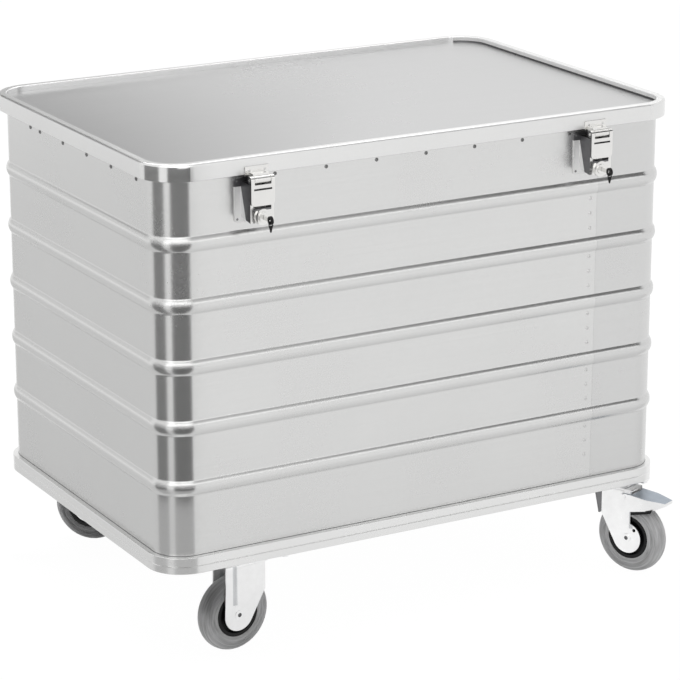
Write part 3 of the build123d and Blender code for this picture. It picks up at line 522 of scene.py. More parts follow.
def metal_finish(name, base, rough, stretch, lines=0.03, relief=0.02, patch=6.0, tint=0.03, bare=1.0):
    """Metal with drawn lines and handling marks; rough holds (bright, dull), bare is 0 for a full coat."""
    material, desk, skin = blank_material(name)
    drawn = add_effect(desk, "Drawn lines", {"Stretch": stretch, "Amount": lines})
    bright, dull = rough
    marks = add_effect(
        desk, "Handling marks", {"Size": patch, "Bright": bright, "Dull": dull, "Tint": tint}
    )
    desk.feed(skin.inputs["Base Color"], toned(desk, base, drawn["Tone"], marks["Tone"]))
    desk.feed(skin.inputs["Roughness"], marks["Roughness"])
    skin.inputs["Metallic"].default_value = bare
    add_relief(desk, skin, drawn["Height"], relief, 0.0005)
    return material


def moulded_finish(name, base, rough, grain, relief, tint, patch=30.0, gloss=0.5, streaks=0.0):
    """Rubber or plastic with a fine moulded grain, and on a tyre with streaks that run round it."""
    material, desk, skin = blank_material(name)
    bright, dull = rough
    marks = add_effect(
        desk, "Handling marks", {"Size": patch, "Bright": bright, "Dull": dull, "Tint": tint}
    )
    tones = [marks["Tone"]]
    if streaks:
        tread = desk.add("ShaderNodeAttribute", attribute_name="tread").outputs["Vector"]
        worn = desk.add("ShaderNodeTexNoise", {"Vector": tread, "Scale": 420.0, "Detail": 3.0}).outputs[0]
        tones.append(between(desk, worn, 1.0 - streaks, 1.0 + streaks, 0.3, 0.7))
    desk.feed(skin.inputs["Base Color"], toned(desk, base, *tones))
    desk.feed(skin.inputs["Roughness"], marks["Roughness"])
    skin.inputs["Specular IOR Level"].default_value = gloss
    grains = add_effect(desk, "Grain", {"Size": grain})
    add_relief(desk, skin, grains["Height"], relief, 0.0004)
    return material


# Finishes, named as their colours are. Polished metal has the rim's colour.
ROLLED = {"rough": (0.23, 0.29), "stretch": (2.0, 2.0, 700.0), "lines": 0.015, "relief": 0.004}
DRAWN = {"stretch": (3.0, 3.0, 1100.0), "lines": 0.012, "relief": 0.002}
PLATED = {"stretch": (60.0, 60.0, 60.0), "patch": 40.0}
RIVETED = {"stretch": (300.0, 300.0, 300.0), "lines": 0.05, "relief": 0.02, "patch": 90.0}
ZINCED = {"stretch": (90.0, 90.0, 90.0), "relief": 0.012, "patch": 50.0}
# Zinc for painted shade and reflection: the pedals' darker tops and the forks' folds
SHADED_ZINC = {**ZINCED, "rough": (0.34, 0.46), "lines": 0.04, "tint": 0.08}
METALS = {
    "sheet": {"name": "Rolled wall sheet", **ROLLED},
    "other_sheet": {"name": "Rolled second sheet", **ROLLED},
    "lid": {
        "name": "Rolled lid sheet", "rough": (0.27, 0.29), "stretch": (1.5, 90.0, 1.5), "lines": 0.012,
        "relief": 0.001, "patch": 2.0, "tint": 0.012,
    },
    "rim": {"name": "Anodised rim", **DRAWN, "rough": (0.34, 0.42)},
    "polished": {"name": "Polished rim corner", **DRAWN, "rough": (0.16, 0.22)},
    # Painted highlight on the rim's inward faces
    "bright": {"name": "Bright rim edge", **DRAWN, "rough": (0.20, 0.26), "lines": 0.010},
    "extrusion": {
        "name": "Anodised extrusion", **DRAWN, "rough": (0.24, 0.32), "lines": 0.015, "relief": 0.004,
    },
    "nickel": {"name": "Nickel plate", **PLATED, "rough": (0.12, 0.19), "lines": 0.02, "relief": 0.004},
    # Pale plate, also painted light on the rim and the lock cheeks
    "satin_and_painted_light": {
        "name": "Satin nickel", **PLATED, "rough": (0.50, 0.60), "lines": 0.03, "relief": 0.01, "tint": 0.05,
        "bare": 0.2,
    },
    # Dark cast metal, also painted shade in many places
    "casting_and_painted_shade": {
        "name": "Dark casting", "rough": (0.30, 0.42), "stretch": (220.0, 220.0, 220.0), "lines": 0.06,
        "relief": 0.05, "patch": 60.0, "tint": 0.08,
    },
    "rivet": {"name": "Rivet steel", **RIVETED, "rough": (0.30, 0.42)},
    "soft_rivet": {"name": "Rivet aluminium", **RIVETED, "rough": (0.34, 0.46)},
    "zinc": {"name": "Bright zinc plate", **ZINCED, "rough": (0.26, 0.38), "lines": 0.03, "tint": 0.05},
    # Painted reflection on the pedals' tops
    "pedal_top_shade": {"name": "Blued zinc plate", **SHADED_ZINC},
    # Painted shade in the forks' folds
    "dull": {"name": "Dull zinc plate", **SHADED_ZINC},
}
TYRE_SKIN = {"rough": (0.5, 0.68), "grain": 1400.0, "relief": 0.12}
MOULDINGS = {
    "rubber": {"name": "Grey tyre rubber", **TYRE_SKIN, "tint": 0.14, "streaks": 0.28},
    "lip": {"name": "Pale tyre lip", **TYRE_SKIN, "tint": 0.10},
    "plastic": {
        "name": "Black plastic", "rough": (0.38, 0.5), "grain": 1800.0, "relief": 0.08, "tint": 0.2,
        "gloss": 0.25,
    },
}


def finish(kind):
    """The material of a finish, made when a piece first asks for it."""
    values = METALS.get(kind) or MOULDINGS[kind]
    if values["name"] in bpy.data.materials:
        return bpy.data.materials[values["name"]]
    base = getattr(bpy.context.scene.cart_finishes, "rim" if kind == "polished" else kind)
    make = metal_finish if kind in METALS else moulded_finish
    return make(base=base, **values)


# Wall sheets
BEAD_STEPS = 19.0
JOGGLE = (0.0006, 0.0032)


def beaded_sheet_tree():
    """Sweeps the wall's section along a path: flats with rolled beads, each blended into the wall."""
    sockets = [
        ("Foot", "Float"), ("Top", "Float"), ("First Bead", "Float"), ("Pitch", "Float"), ("Beads", "Float"),
        ("Height", "Float"), ("Depth", "Float"), ("Blend", "Float"), ("Steps", "Float"),
        ("Material", "Material"),
    ]
    tree, desk, given = geometry_tree("Beaded sheet", sockets)
    depth, blend, steps = given["Depth"], given["Blend"], given["Steps"]
    half = desk.sum("MULTIPLY", given["Height"], 0.5)
    squares = desk.sum("ADD", desk.sum("MULTIPLY", half, half), desk.sum("MULTIPLY", depth, depth))
    radius = desk.sum("DIVIDE", squares, desk.sum("MULTIPLY", depth, 2.0))
    both = desk.sum("ADD", radius, blend)
    inner = desk.sum("SUBTRACT", both, depth)
    foot_square = desk.sum("SUBTRACT", desk.sum("MULTIPLY", both, both), desk.sum("MULTIPLY", inner, inner))
    reach = desk.sum("SQRT", foot_square)
    change = desk.sum("DIVIDE", desk.sum("MULTIPLY", reach, radius), both)

    index = desk.add("GeometryNodeInputIndex").outputs[0]
    step = desk.sum("SUBTRACT", index, 1.0)
    bead = desk.sum("FLOOR", desk.sum("DIVIDE", step, steps))
    within = desk.sum("SUBTRACT", step, desk.sum("MULTIPLY", bead, steps))
    share = desk.sum("DIVIDE", within, desk.sum("SUBTRACT", steps, 1.0))
    rise = desk.sum("MULTIPLY", desk.sum("MULTIPLY_ADD", share, 2.0, -1.0), reach)
    away = desk.sum("ABSOLUTE", rise)
    arc_square = desk.sum("SUBTRACT", desk.sum("MULTIPLY", radius, radius), desk.sum("MULTIPLY", away, away))
    arc = desk.sum("SUBTRACT", desk.sum("SQRT", arc_square), desk.sum("SUBTRACT", radius, depth))
    left = desk.sum("SUBTRACT", reach, away)
    hollow_square = desk.sum("SUBTRACT", desk.sum("MULTIPLY", blend, blend), desk.sum("MULTIPLY", left, left))
    hollow = desk.sum("SUBTRACT", blend, desk.sum("SQRT", desk.sum("MAXIMUM", hollow_square, 0.0)))
    out = desk.choose(desk.sum("LESS_THAN", away, change), arc, hollow)

    lowest = desk.sum("ADD", given["Foot"], given["First Bead"])
    middle = desk.sum("MULTIPLY_ADD", bead, given["Pitch"], lowest)
    height = desk.sum("ADD", middle, rise)
    at_foot = desk.sum("LESS_THAN", index, 0.5)
    points = desk.sum("MULTIPLY", given["Beads"], steps)
    at_top = desk.sum("GREATER_THAN", index, desk.sum("ADD", points, 0.5))
    height = desk.choose(at_top, given["Top"], desk.choose(at_foot, given["Foot"], height))
    at_end = desk.sum("ADD", at_foot, at_top)
    out = desk.choose(at_end, 0.0, out)

    line = desk.add("GeometryNodeMeshLine", {"Count": desk.sum("ADD", points, 2.0)})
    down = desk.sum("MULTIPLY", height, -1.0)
    place = desk.add("ShaderNodeCombineXYZ", {"X": out, "Y": down}).outputs[0]
    section = desk.add("GeometryNodeSetPosition", {"Geometry": line.outputs[0], "Position": place})
    section = desk.add("GeometryNodeMeshToCurve", {"Mesh": section.outputs[0]})
    path = desk.add("GeometryNodeMeshToCurve", {"Mesh": given["Geometry"]})
    path = desk.add("GeometryNodeSetCurveNormal", {"Curve": path.outputs[0]}, mode="Z_UP")
    curves = {"Curve": path.outputs[0], "Profile Curve": section.outputs[0]}
    swept = desk.add("GeometryNodeCurveToMesh", curves)
    close_tree(desk, swept.outputs[0], given["Material"])
    return tree


def corner_points(centre, radius, start, steps=22):
    """Quarter turn, anticlockwise from start in degrees."""
    turns = [math.radians(start + 90 * k / steps) for k in range(steps + 1)]
    return [(centre[0] + radius * math.cos(t), centre[1] + radius * math.sin(t)) for t in turns]


def sheet_strip(name, path, foot, top, tree):
    """A beaded strip of sheet along a path of (x, y) points, with the wall's thickness inwards."""
    sheets = bpy.context.scene.cart_sheets
    edges = [(k, k + 1) for k in range(len(path) - 1)]
    obj = new_object(name, mesh_from(name, [(x, y, 0.0) for x, y in path], edges))
    run_tree(obj, tree, {
        "Foot": foot, "Top": top, "First Bead": SHEET_FOOT + sheets.first_bead - foot,
        "Pitch": sheets.bead_pitch, "Beads": float(sheets.bead_count), "Height": sheets.bead_height,
        "Depth": sheets.bead_depth, "Blend": sheets.bead_blend, "Steps": BEAD_STEPS,
        "Material": finish("sheet"),
    })
    solid = obj.modifiers.new("Sheet", "SOLIDIFY")
    solid.thickness = sheets.thickness
    solid.offset = 1.0
    solid.use_even_offset = True
    return settle(obj)


class CART_OT_wall_sheets(bpy.types.Operator):
    """Rolls the two beaded wall sheets, each lapped under the other at one end"""

    bl_idname = "cart.wall_sheets"
    bl_label = "Wall sheets"

    def execute(self, context):
        sheets = context.scene.cart_sheets
        x, y, r = sheets.box_length / 2, sheets.box_width / 2, sheets.corner_radius
        path = [(-sheets.seam - sheets.seam_gap, y)]
        path += corner_points((r - x, y - r), r, 90) + corner_points((r - x, r - y), r, 180)
        path.append((sheets.seam, -y))
        under = y - sheets.thickness - LAP_FIT
        bend, step = (-sheets.seam - off for off in JOGGLE)
        lap = [(sheets.lap - sheets.seam, under), (bend, under), (step, y)]
        lap_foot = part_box("floor_panel")[1].z + LAP_END_GAP
        lap_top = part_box("top_frame")[0].z - LAP_END_GAP
        tree = beaded_sheet_tree()
        for side, sign in (("left", 1), ("right", -1)):
            wall_path = [(sign * a, sign * b) for a, b in path]
            lap_path = [(sign * a, sign * b) for a, b in lap]
            wall = sheet_strip("wall", wall_path, SHEET_FOOT, SHEET_TOP, tree)
            strip = sheet_strip("lap", lap_path, lap_foot, lap_top, tree)
            piece = joined("wall_sheet_" + side + ".look", [wall, strip])
            paint(piece, finish("sheet" if side == "left" else "other_sheet"))
            shade(piece)
            stand_for(piece, "wall_sheet_" + side)
        return {"FINISHED"}


# Frames, lid and floor: height of the painted shade line on the rim's right inward face over the panel, depth
# of its inner face, and the size of the painted shadow line at the wall's foot
RIM_SHADE_LINE = 0.0024
RIM_INSIDE = 0.012
SHADOW_LINE_SIZE = 0.0006
SHADOW_LINE_SUNK = 0.0002


class CART_OT_box_frame(bpy.types.Operator):
    """Finishes the base frame, edge frame, lid and floor"""

    bl_idname = "cart.box_frame"
    bl_label = "Frames, lid and floor"

    def execute(self, context):
        for node in ("base_frame", "top_frame"):
            finished_node(node, finish("extrusion"))
        self.rim()
        paint(frame["nodes"]["lid_panel"], finish("lid"))
        paint(frame["nodes"]["floor_panel"], finish("lid"))
        finished_node("cross_channels", finish("extrusion"))
        # Painted shadow line where the wall meets the base frame
        self.joint_line(context.scene.cart_sheets)
        return {"FINISHED"}

    def rim(self):
        """The lid's edge: polished corners, a lighter copy of the rim's aluminium on its inward faces as a
        painted highlight, and on the right inward face a paler matt finish as painted light over a dark line
        of painted shade where it meets the panel.
        """
        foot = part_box("lid_rim")[1].z - RIM_INSIDE
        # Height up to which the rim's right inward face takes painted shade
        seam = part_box("lid_panel")[1].z + RIM_SHADE_LINE
        planes = [(seam * UP, UP)]
        piece = finished_node(
            "lid_rim", finish("rim"), reshape=lambda made: cut_along(made, planes)
        )

        def inside(face):
            return face.center.z > foot and self.faces_in(face)

        def on_right(face):
            return inside(face) and face.normal.x < -LEANING

        def on_corner(face):
            return min(abs(face.normal.x), abs(face.normal.y)) > ROUNDING and not self.faces_in(face)

        refinish(piece, finish("polished"), on_corner)
        # Painted highlight: the inward faces take a lighter copy of the rim's colour
        refinish(piece, finish("bright"), inside)
        # Painted light: the right inward face takes a paler matt finish so that it reads lit
        refinish(piece, finish("satin_and_painted_light"), on_right)
        # Painted shade: a dark line along the foot of the right inward face, where it meets the panel
        refinish(piece, finish("casting_and_painted_shade"), lambda face: on_right(face) and face.center.z < seam)

    def joint_line(self, sheets):
        """A dark strip where the wall stands in the base frame: painted shadow of the gap between them."""
        x, y, r = sheets.box_length / 2, sheets.box_width / 2, sheets.corner_radius
        corners = {0: (x - r, y - r), 90: (r - x, y - r), 180: (r - x, r - y), 270: (x - r, r - y)}
        level, thick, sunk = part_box("base_frame")[1].z, SHADOW_LINE_SIZE, -SHADOW_LINE_SUNK
        section = ((sunk, sunk), (thick, sunk), (0.8 * thick, 0.7 * thick), (sunk, thick))
        vertices = []
        for out, rise in section:
            for start, centre in corners.items():
                vertices += [(a, b, level + rise) for a, b in corner_points(centre, r + out, start)]
        count = len(vertices) // len(section)
        faces = []
        for k in range(len(section)):
            a, b = k * count, (k + 1) % len(section) * count
            faces += [(a + i, a + (i + 1) % count, b + (i + 1) % count, b + i) for i in range(count)]
        piece = new_object("joint_line", mesh_from("joint_line", vertices, faces=faces))
        point_outwards(piece)
        # Painted shadow: a dark strip stands for the shade in the gap
        paint(piece, finish("casting_and_painted_shade"))
        shade(piece)
        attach(piece, body_of("base_frame"))

    def faces_in(self, face):
        """Whether an upright face looks in, towards the middle of the cart."""
        return face.normal.x * face.center.x + face.normal.y * face.center.y < -0.2


class CART_OT_hinges(bpy.types.Operator):
    """Finishes the two rear hinges"""

    bl_idname = "cart.hinges"
    bl_label = "Hinges"

    def execute(self, context):
        for node in ("hinge_leaves_lid", "hinge_leaves_body", "hinge_pins"):
            finished_node(node, finish("zinc"), edge=0.0004)
        return {"FINISHED"}


# Locks: areas with a finish of their own and areas of painted shade and reflection, in metres
SLOT_HALF = 0.0152
SLOT_EDGE = 0.0016
SLOT_SHADE = 0.0025
FINGER_SLOT = 0.0075
FINGER_LAP = 0.0002
BROW_DROP = 0.0125
CHEEK_SHARE = 0.57
CASE_SKIN = 0.001
PLATE_SKIN = 0.0002


class CART_OT_locks(bpy.types.Operator):
    """Finishes the two hasp locks with their keys"""

    bl_idname = "cart.locks"
    bl_label = "Locks and keys"

    def execute(self, context):
        plated = {"hasp_bracket": 0.0005, "lock_plug": 0.0004, "lock_bolt": 0.0003, "key": 0.0003}
        moulded = {"key_head": 0.0006, "key_ring": 0.0002}
        for side in LOCKS:
            for node, edge in plated.items():
                finished_node(node + "_" + side, finish("nickel"), edge)
            for node, edge in moulded.items():
                finished_node(node + "_" + side, finish("plastic"), edge)
            self.case(side)
            self.hasp(side)
        return {"FINISHED"}

    def case(self, side):
        """A plated front, a pale matt plate, and painted shade and reflection: cheeks dark above a slanting
        line and pale below it, dark behind the hasp's slots, and shade under the lid's skirt.
        """
        low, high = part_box("lock_case_" + side)
        middle = (low.x + high.x) / 2
        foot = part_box("hasp_" + side)[0].z
        brow = Vector((middle, PLATE_FACE, high.z - BROW_DROP))
        slope = Vector((0.0, low.z - brow.z, CHEEK_SHARE * (PLATE_FACE - CASE_FACE)))
        slots = ((SLOT_Z - SLOT_SHADE, SLOT_Z + SLOT_SHADE), (foot - FINGER_SLOT, foot + FINGER_LAP))
        planes = [(brow, UP), (brow, slope)]
        planes += [(Vector((middle, CASE_FACE, z)), UP) for pair in slots for z in pair]
        planes += [(Vector((middle + dx, CASE_FACE, foot)), ALONG_X) for dx in (-SLOT_HALF, SLOT_HALF)]
        piece = finished_node(
            "lock_case_" + side, finish("nickel"), edge=0.0008,
            reshape=lambda made: cut_along(made, planes),
        )

        def behind_front(face):
            return face.center.y > CASE_FACE + CASE_SKIN

        def behind_slot(face):
            near = abs(face.center.x - middle) < SLOT_HALF and abs(face.center.y - CASE_FACE) < CASE_SKIN
            return near and any(a < face.center.z < b for a, b in slots)

        def on_dark_cheek(face):
            on_cheek = behind_front(face) and face.center.y < PLATE_FACE - PLATE_SKIN
            return on_cheek and (face.center - brow).dot(slope) > 0

        def under_skirt(face):
            return behind_front(face) and face.center.z > brow.z

        # The plate and the lower part of each cheek are pale; on the cheek that paleness is a painted
        # reflection
        refinish(piece, finish("satin_and_painted_light"), behind_front)
        # Painted shade and reflection: dark behind the slots, on the upper part of each cheek and under the
        # lid's skirt
        refinish(piece, finish("casting_and_painted_shade"), lambda face: (
            behind_slot(face) or on_dark_cheek(face) or under_skirt(face)
        ))

    def hasp(self, side):
        """A plated strap with painted shade on its side faces and in its slot."""
        low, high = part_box("hasp_" + side)
        middle = (low.x + high.x) / 2
        piece = finished_node("hasp_" + side, finish("nickel"), edge=0.0007)
        # Painted shade on the side faces and the slot's walls
        refinish(piece, finish("casting_and_painted_shade"), lambda face: (
            abs(face.normal.x) > FACING
            or abs(face.center.x - middle) < SLOT_HALF and abs(face.center.z - SLOT_Z) < SLOT_EDGE
        ))


# Castors, in metres. Places along a fork or pedal are measured from the kingpin, the way the wheel trails.
FORK_FOLD = (0.0440, 0.0514)
FOLD_FOOT = 0.080
GUARD_START = -0.030
GUARD_EDGE = 0.018
GUARD_CORNER = 0.011
GUARD_SLANT = 0.31
SOCKET_RADIUS = 0.0036
# Painted shadow strip under a pedal's flanks: its outline, the distances of its faces from the middle and how
# its edges are eased
SHADOW_STRIP_OUTLINE = ((0.0475, 0.006), (0.086, 0.0045), (0.088, -0.001), (0.0475, -0.001))
SHADOW_STRIP_FACES = (0.0198, 0.0214)
SHADOW_STRIP_EASED = (0.0005, 30.0)
FLANK_START = (0.046, 0.1102)
FLANK_SLOPE = 0.239
TYRE_HALF = 0.016
TYRE_SHOULDER = 0.014
TYRE_FLANK = (
    (0.0156, 0.0468), (0.0151, 0.0463), (0.0148, 0.0455), (0.0149, 0.0447), (0.0153, 0.0441),
    (0.0154, 0.0402), (0.0152, 0.0388), (0.01475, 0.0379), (0.01475, 0.0375),
)
LIP_RADIUS = 0.0402
TREAD_TURN = 0.004


class CART_OT_castors(bpy.types.Operator):
    """Finishes plates, forks, axles and brake pedals, and turns the tyres"""

    bl_idname = "cart.castors"
    bl_label = "Castors"

    def execute(self, context):
        finished_node("castor_bolts", finish("zinc"), edge=0.0005)
        for corner in CASTORS:
            finished_node("castor_plate_" + corner, finish("zinc"), edge=0.0004)
            self.fork(corner)
            self.axle(corner)
            finished_node("wheel_centre_" + corner, finish("plastic"), edge=0.0006)
            self.tyre(corner)
            if corner in BRAKED:
                pedal = finished_node("brake_pedal_" + corner, finish("zinc"), edge=0.0006)
                # Painted reflection: the pedal's upward faces are darker than their sides
                refinish(pedal, finish("pedal_top_shade"), lambda face: face.normal.z > FACING)
                self.flank_shadow_strip(corner)
        return {"FINISHED"}

    def axes(self, corner):
        """A castor's kingpin at floor level, the way its wheel trails, and the way across it."""
        kingpin = Vector(JOINTS["swivel_" + corner]["pos_m"])
        trail = Vector(JOINTS["roll_" + corner]["pos_m"]) - kingpin
        kingpin.z = trail.z = 0.0
        trail.normalize()
        return kingpin, trail, Vector((-trail.y, trail.x, 0.0))

    def off_axle(self, corner, place):
        """Distance of a place from the line that a wheel rolls about."""
        joint = JOINTS["roll_" + corner]
        return (Vector(place) - Vector(joint["pos_m"])).cross(Vector(joint["axis"]).normalized()).length

    def fork(self, corner):
        """A plated fork with painted shade along the fold of each leg and, beside a pedal, a guard strip
        painted dark as shade.
        """
        kingpin, trail, across = self.axes(corner)

        def along(place):
            return (place - kingpin).dot(trail)

        def reshape(made):
            cut_along(made, [(kingpin + trail * x, trail) for x in FORK_FOLD] + [(FOLD_FOOT * UP, UP)])
            strip = [v for v in made.data.vertices if along(v.co) < GUARD_START]
            top = max((v.co.z for v in strip), default=0.0)
            for v in strip:
                off = (v.co - kingpin).dot(across)
                goal = GUARD_EDGE if off > 0 else GUARD_SLANT * (top - v.co.z) - GUARD_CORNER
                v.co += across * (goal - off)

        def painted_fold_shade(face):
            start, end = FORK_FOLD
            within = start < along(face.center) < end and face.center.z > FOLD_FOOT
            return within and abs(face.normal.dot(across)) > SQUARE_ON

        piece = finished_node("fork_" + corner, finish("zinc"), edge=0.0006, reshape=reshape)
        # Painted shade in the fold of each leg
        refinish(piece, finish("dull"), painted_fold_shade)
        # Painted shade on the guard strip, which faces away from the light
        refinish(piece, finish("casting_and_painted_shade"), lambda face: along(face.center) < GUARD_START)

    def axle(self, corner):
        """A plated axle bolt with painted shade in its socket."""
        piece = finished_node("axle_" + corner, finish("zinc"), edge=0.0005)
        points = piece.data.vertices
        # Painted shade in the socket's hollow
        refinish(piece, finish("casting_and_painted_shade"), lambda face: (
            max(self.off_axle(corner, points[k].co) for k in face.vertices) < SOCKET_RADIUS
        ))

    def flank_shadow_strip(self, corner):
        """A black strip along the foot of a pedal's flanks: painted shadow of the dark gap between flank and
        tyre.
        """
        kingpin, trail, across = self.axes(corner)
        flank_start, flank_foot = FLANK_START
        ends = [(3, 2, 1, 0), (4, 5, 6, 7)]
        sides = [(k, (k + 1) % 4, (k + 1) % 4 + 4, k + 4) for k in range(4)]
        strips = []
        for side in (-1, 1):
            vertices = []
            for off in SHADOW_STRIP_FACES:
                for x, drop in SHADOW_STRIP_OUTLINE:
                    height = flank_foot + FLANK_SLOPE * (x - flank_start) - drop
                    vertices.append(kingpin + trail * x + across * side * off + UP * height)
            strips.append(new_object("strip", mesh_from("strip", vertices, faces=ends + sides)))
        piece = joined("brake_edging_" + corner, strips)
        point_outwards(piece)
        ease(piece, *SHADOW_STRIP_EASED)
        # Painted shadow: the strip takes the black plastic
        paint(piece, finish("plastic"))
        shade(piece)
        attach(piece, body_of("brake_pedal_" + corner))

    def tyre(self, corner, crown_steps=14, turn_steps=96):
        """A tyre with a round crown, a groove in each flank and a pale lip at its centre."""
        joint = JOINTS["roll_" + corner]
        low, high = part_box("tyre_" + corner)
        radius = (high.z - low.z) / 2
        crown = (TYRE_HALF * TYRE_HALF + TYRE_SHOULDER * TYRE_SHOULDER) / (2 * TYRE_SHOULDER)
        widest = math.asin(TYRE_HALF / crown)
        turns = [widest * k / crown_steps for k in range(crown_steps + 1)]
        side = [(crown * math.sin(t), radius - crown + crown * math.cos(t)) for t in turns]
        side += TYRE_FLANK
        outline = side + [(-a, r) for a, r in reversed(side[1:])]
        piece = lathe("tyre_" + corner + ".look", outline, joint["pos_m"], joint["axis"], turn_steps)
        self.mark_tread(piece, joint)
        paint(piece, finish("rubber"))
        shade(piece)
        refinish(piece, finish("lip"), lambda face: self.off_axle(corner, face.center) < LIP_RADIUS)
        stand_for(piece, "tyre_" + corner)

    def mark_tread(self, piece, joint):
        """Writes radius, offset and a little of the turn on each point, for marks that run round the tyre."""
        hub, axis = Vector(joint["pos_m"]), Vector(joint["axis"]).normalized()
        marks = []
        for vertex in piece.data.vertices:
            out = vertex.co - hub
            along = out.dot(axis)
            radius = (out - axis * along).length
            marks += [radius, along, TREAD_TURN * out.z / radius]
        tread = piece.data.attributes.new("tread", "FLOAT_VECTOR", "POINT")
        tread.data.foreach_set("vector", marks)


# Rivets. Rows of the edge frame are given in pitches from the middle, and plates by half their rivets' spans.
FRONT_ROW = (-3, -2, -1, 0, 1, 2, 3)
REAR_ROW = (-5, -4, -2, -1, 0, 1, 2, 4, 5)
SIDE_ROW = (-2.5, -1.5, -0.5, 0.5, 1.5, 1.92)
SIDE_ROW_DROP = 0.0025
LAP_MIDDLE = 0.54
LOCK_RIVETS = (0.0265, 0.029)
BRACKET_RIVETS = 0.013
BRACKET_PLATE = 0.002
BRACKET_DROP = 0.006
HINGE_RIVETS = 0.02
HINGE_LEAF = 0.0025
HINGE_RISES = (0.010, 0.026)
HINGE_DROP = 0.009
# Sizes of the heads beside those of the edge frame's front row
SIDE_HEAD, LOCK_HEAD, BRACKET_HEAD, HINGE_HEAD = 1.2, 0.6, 0.7, 0.9


def rivet_tree():
    """Sets a rivet head on every point, standing along the point's own direction."""
    tree, desk, given = geometry_tree("Rivet rows", [("Head", "Object"), ("Material", "Material")])
    head = desk.add("GeometryNodeObjectInfo", {"Object": given["Head"]}).outputs["Geometry"]
    way = desk.add("GeometryNodeInputNamedAttribute", {"Name": "way"}, data_type="FLOAT_VECTOR").outputs[0]
    size = desk.add("GeometryNodeInputNamedAttribute", {"Name": "size"}, data_type="FLOAT").outputs[0]
    turn = desk.add("FunctionNodeAlignRotationToVector", {"Vector": way}, axis="Z").outputs[0]
    heads = desk.add("GeometryNodeInstanceOnPoints", {
        "Points": given["Geometry"], "Instance": head, "Rotation": turn, "Scale": size,
    })
    close_tree(desk, heads.outputs[0], given["Material"])
    return tree


class CART_OT_rivets(bpy.types.Operator):
    """Sets the rivets of the edge frame, lap joints, locks and hinges"""

    bl_idname = "cart.rivets"
    bl_label = "Rivets"

    def execute(self, context):
        rivets = context.scene.cart_rivets
        head = self.head(rivets)
        tree = rivet_tree()
        for name, body, places, material in (
            ("rivets_cart", "cart", self.cart_places(context), finish("rivet")),
            ("rivets_lap", "cart", self.lap_places(context), finish("soft_rivet")),
            ("rivets_lid", "lid", self.lid_places(), finish("soft_rivet")),
        ):
            obj = new_object(name, mesh_from(name, [place for place, way, size in places]))
            ways = obj.data.attributes.new("way", "FLOAT_VECTOR", "POINT")
            ways.data.foreach_set("vector", [c for place, way, size in places for c in way])
            sizes = obj.data.attributes.new("size", "FLOAT", "POINT")
            sizes.data.foreach_set("value", [size for place, way, size in places])
            run_tree(obj, tree, {"Head": head, "Material": material})
            paint(obj, material)
            shade(obj, angle=50.0)
            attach(obj, body)
        bpy.data.objects.remove(head)
        return {"FINISHED"}

    def head(self, rivets):
        """A domed head with the sunk end of its mandrel in the middle."""
        r, h = rivets.head_radius, rivets.head_height
        outline = [
            (0.0, r), (0.35 * h, r), (0.75 * h, 0.80 * r), (h, 0.45 * r), (0.95 * h, 0.32 * r),
            (0.3 * h, 0.28 * r), (0.3 * h, 0.0001), (0.0, 0.0001),
        ]
        return lathe("rivet_head", outline, (0, 0, 0), UP, steps=14)

    def cart_places(self, context):
        """Rivets of the edge frame, the lock plates and the hinge leaves on the wall: place, way and size."""
        sheets, rivets = context.scene.cart_sheets, context.scene.cart_rivets
        x, y = sheets.box_length / 2, sheets.box_width / 2
        row = SKIRT_FOOT - rivets.rim_drop
        pitch = rivets.rim_pitch
        places = [((k * pitch, -y, row), (0, -1, 0), 1.0) for k in FRONT_ROW]
        places += [((k * pitch, y, row), (0, 1, 0), 1.0) for k in REAR_ROW]
        for k in SIDE_ROW:
            for side in (-1, 1):
                place = (side * x, k * pitch, row - SIDE_ROW_DROP)
                places.append((place, (side, 0, 0), SIDE_HEAD))
        for side in LOCKS:
            low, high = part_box("lock_case_" + side)
            cx, cz = (low.x + high.x) / 2, (low.z + high.z) / 2
            dx, dz = LOCK_RIVETS
            for a in (-1, 1):
                for b in (-1, 1):
                    places.append(((cx + a * dx, PLATE_FACE, cz + b * dz), (0, -1, 0), LOCK_HEAD))
        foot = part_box("hinge_leaves_body")[0].z
        for hinge in (-HINGE_PLACE, HINGE_PLACE):
            for dx in (-HINGE_RIVETS, HINGE_RIVETS):
                for rise in HINGE_RISES:
                    places.append(((hinge + dx, y + HINGE_LEAF, foot + rise), (0, 1, 0), HINGE_HEAD))
        return places

    def lap_places(self, context):
        """Rivets of both lap joints, three on each flat between the beads."""
        sheets, rivets = context.scene.cart_sheets, context.scene.cart_rivets
        places = []
        for bead in range(-1, sheets.bead_count):
            flat = SHEET_FOOT + sheets.first_bead + (bead + LAP_MIDDLE) * sheets.bead_pitch
            for k in (-1, 0, 1):
                z = flat + k * rivets.lap_pitch
                for side in (-1, 1):
                    place = (-side * (sheets.seam - rivets.lap_inset), side * sheets.box_width / 2, z)
                    places.append((place, (0, side, 0), 1.0))
        return places

    def lid_places(self):
        """Rivets of the hasp brackets and of the hinge leaves on the lid."""
        places = []
        front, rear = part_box("lid_rim")
        for side in LOCKS:
            low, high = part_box("hasp_bracket_" + side)
            middle = (low.x + high.x) / 2
            for dx in (-BRACKET_RIVETS, BRACKET_RIVETS):
                place = (middle + dx, front.y - BRACKET_PLATE, high.z - BRACKET_DROP)
                places.append((place, (0, -1, 0), BRACKET_HEAD))
        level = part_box("hinge_leaves_lid")[1].z - HINGE_DROP
        for hinge in (-HINGE_PLACE, HINGE_PLACE):
            for dx in (-HINGE_RIVETS, HINGE_RIVETS):
                places.append(((hinge + dx, rear.y + HINGE_LEAF, level), (0, 1, 0), HINGE_HEAD))
        return places


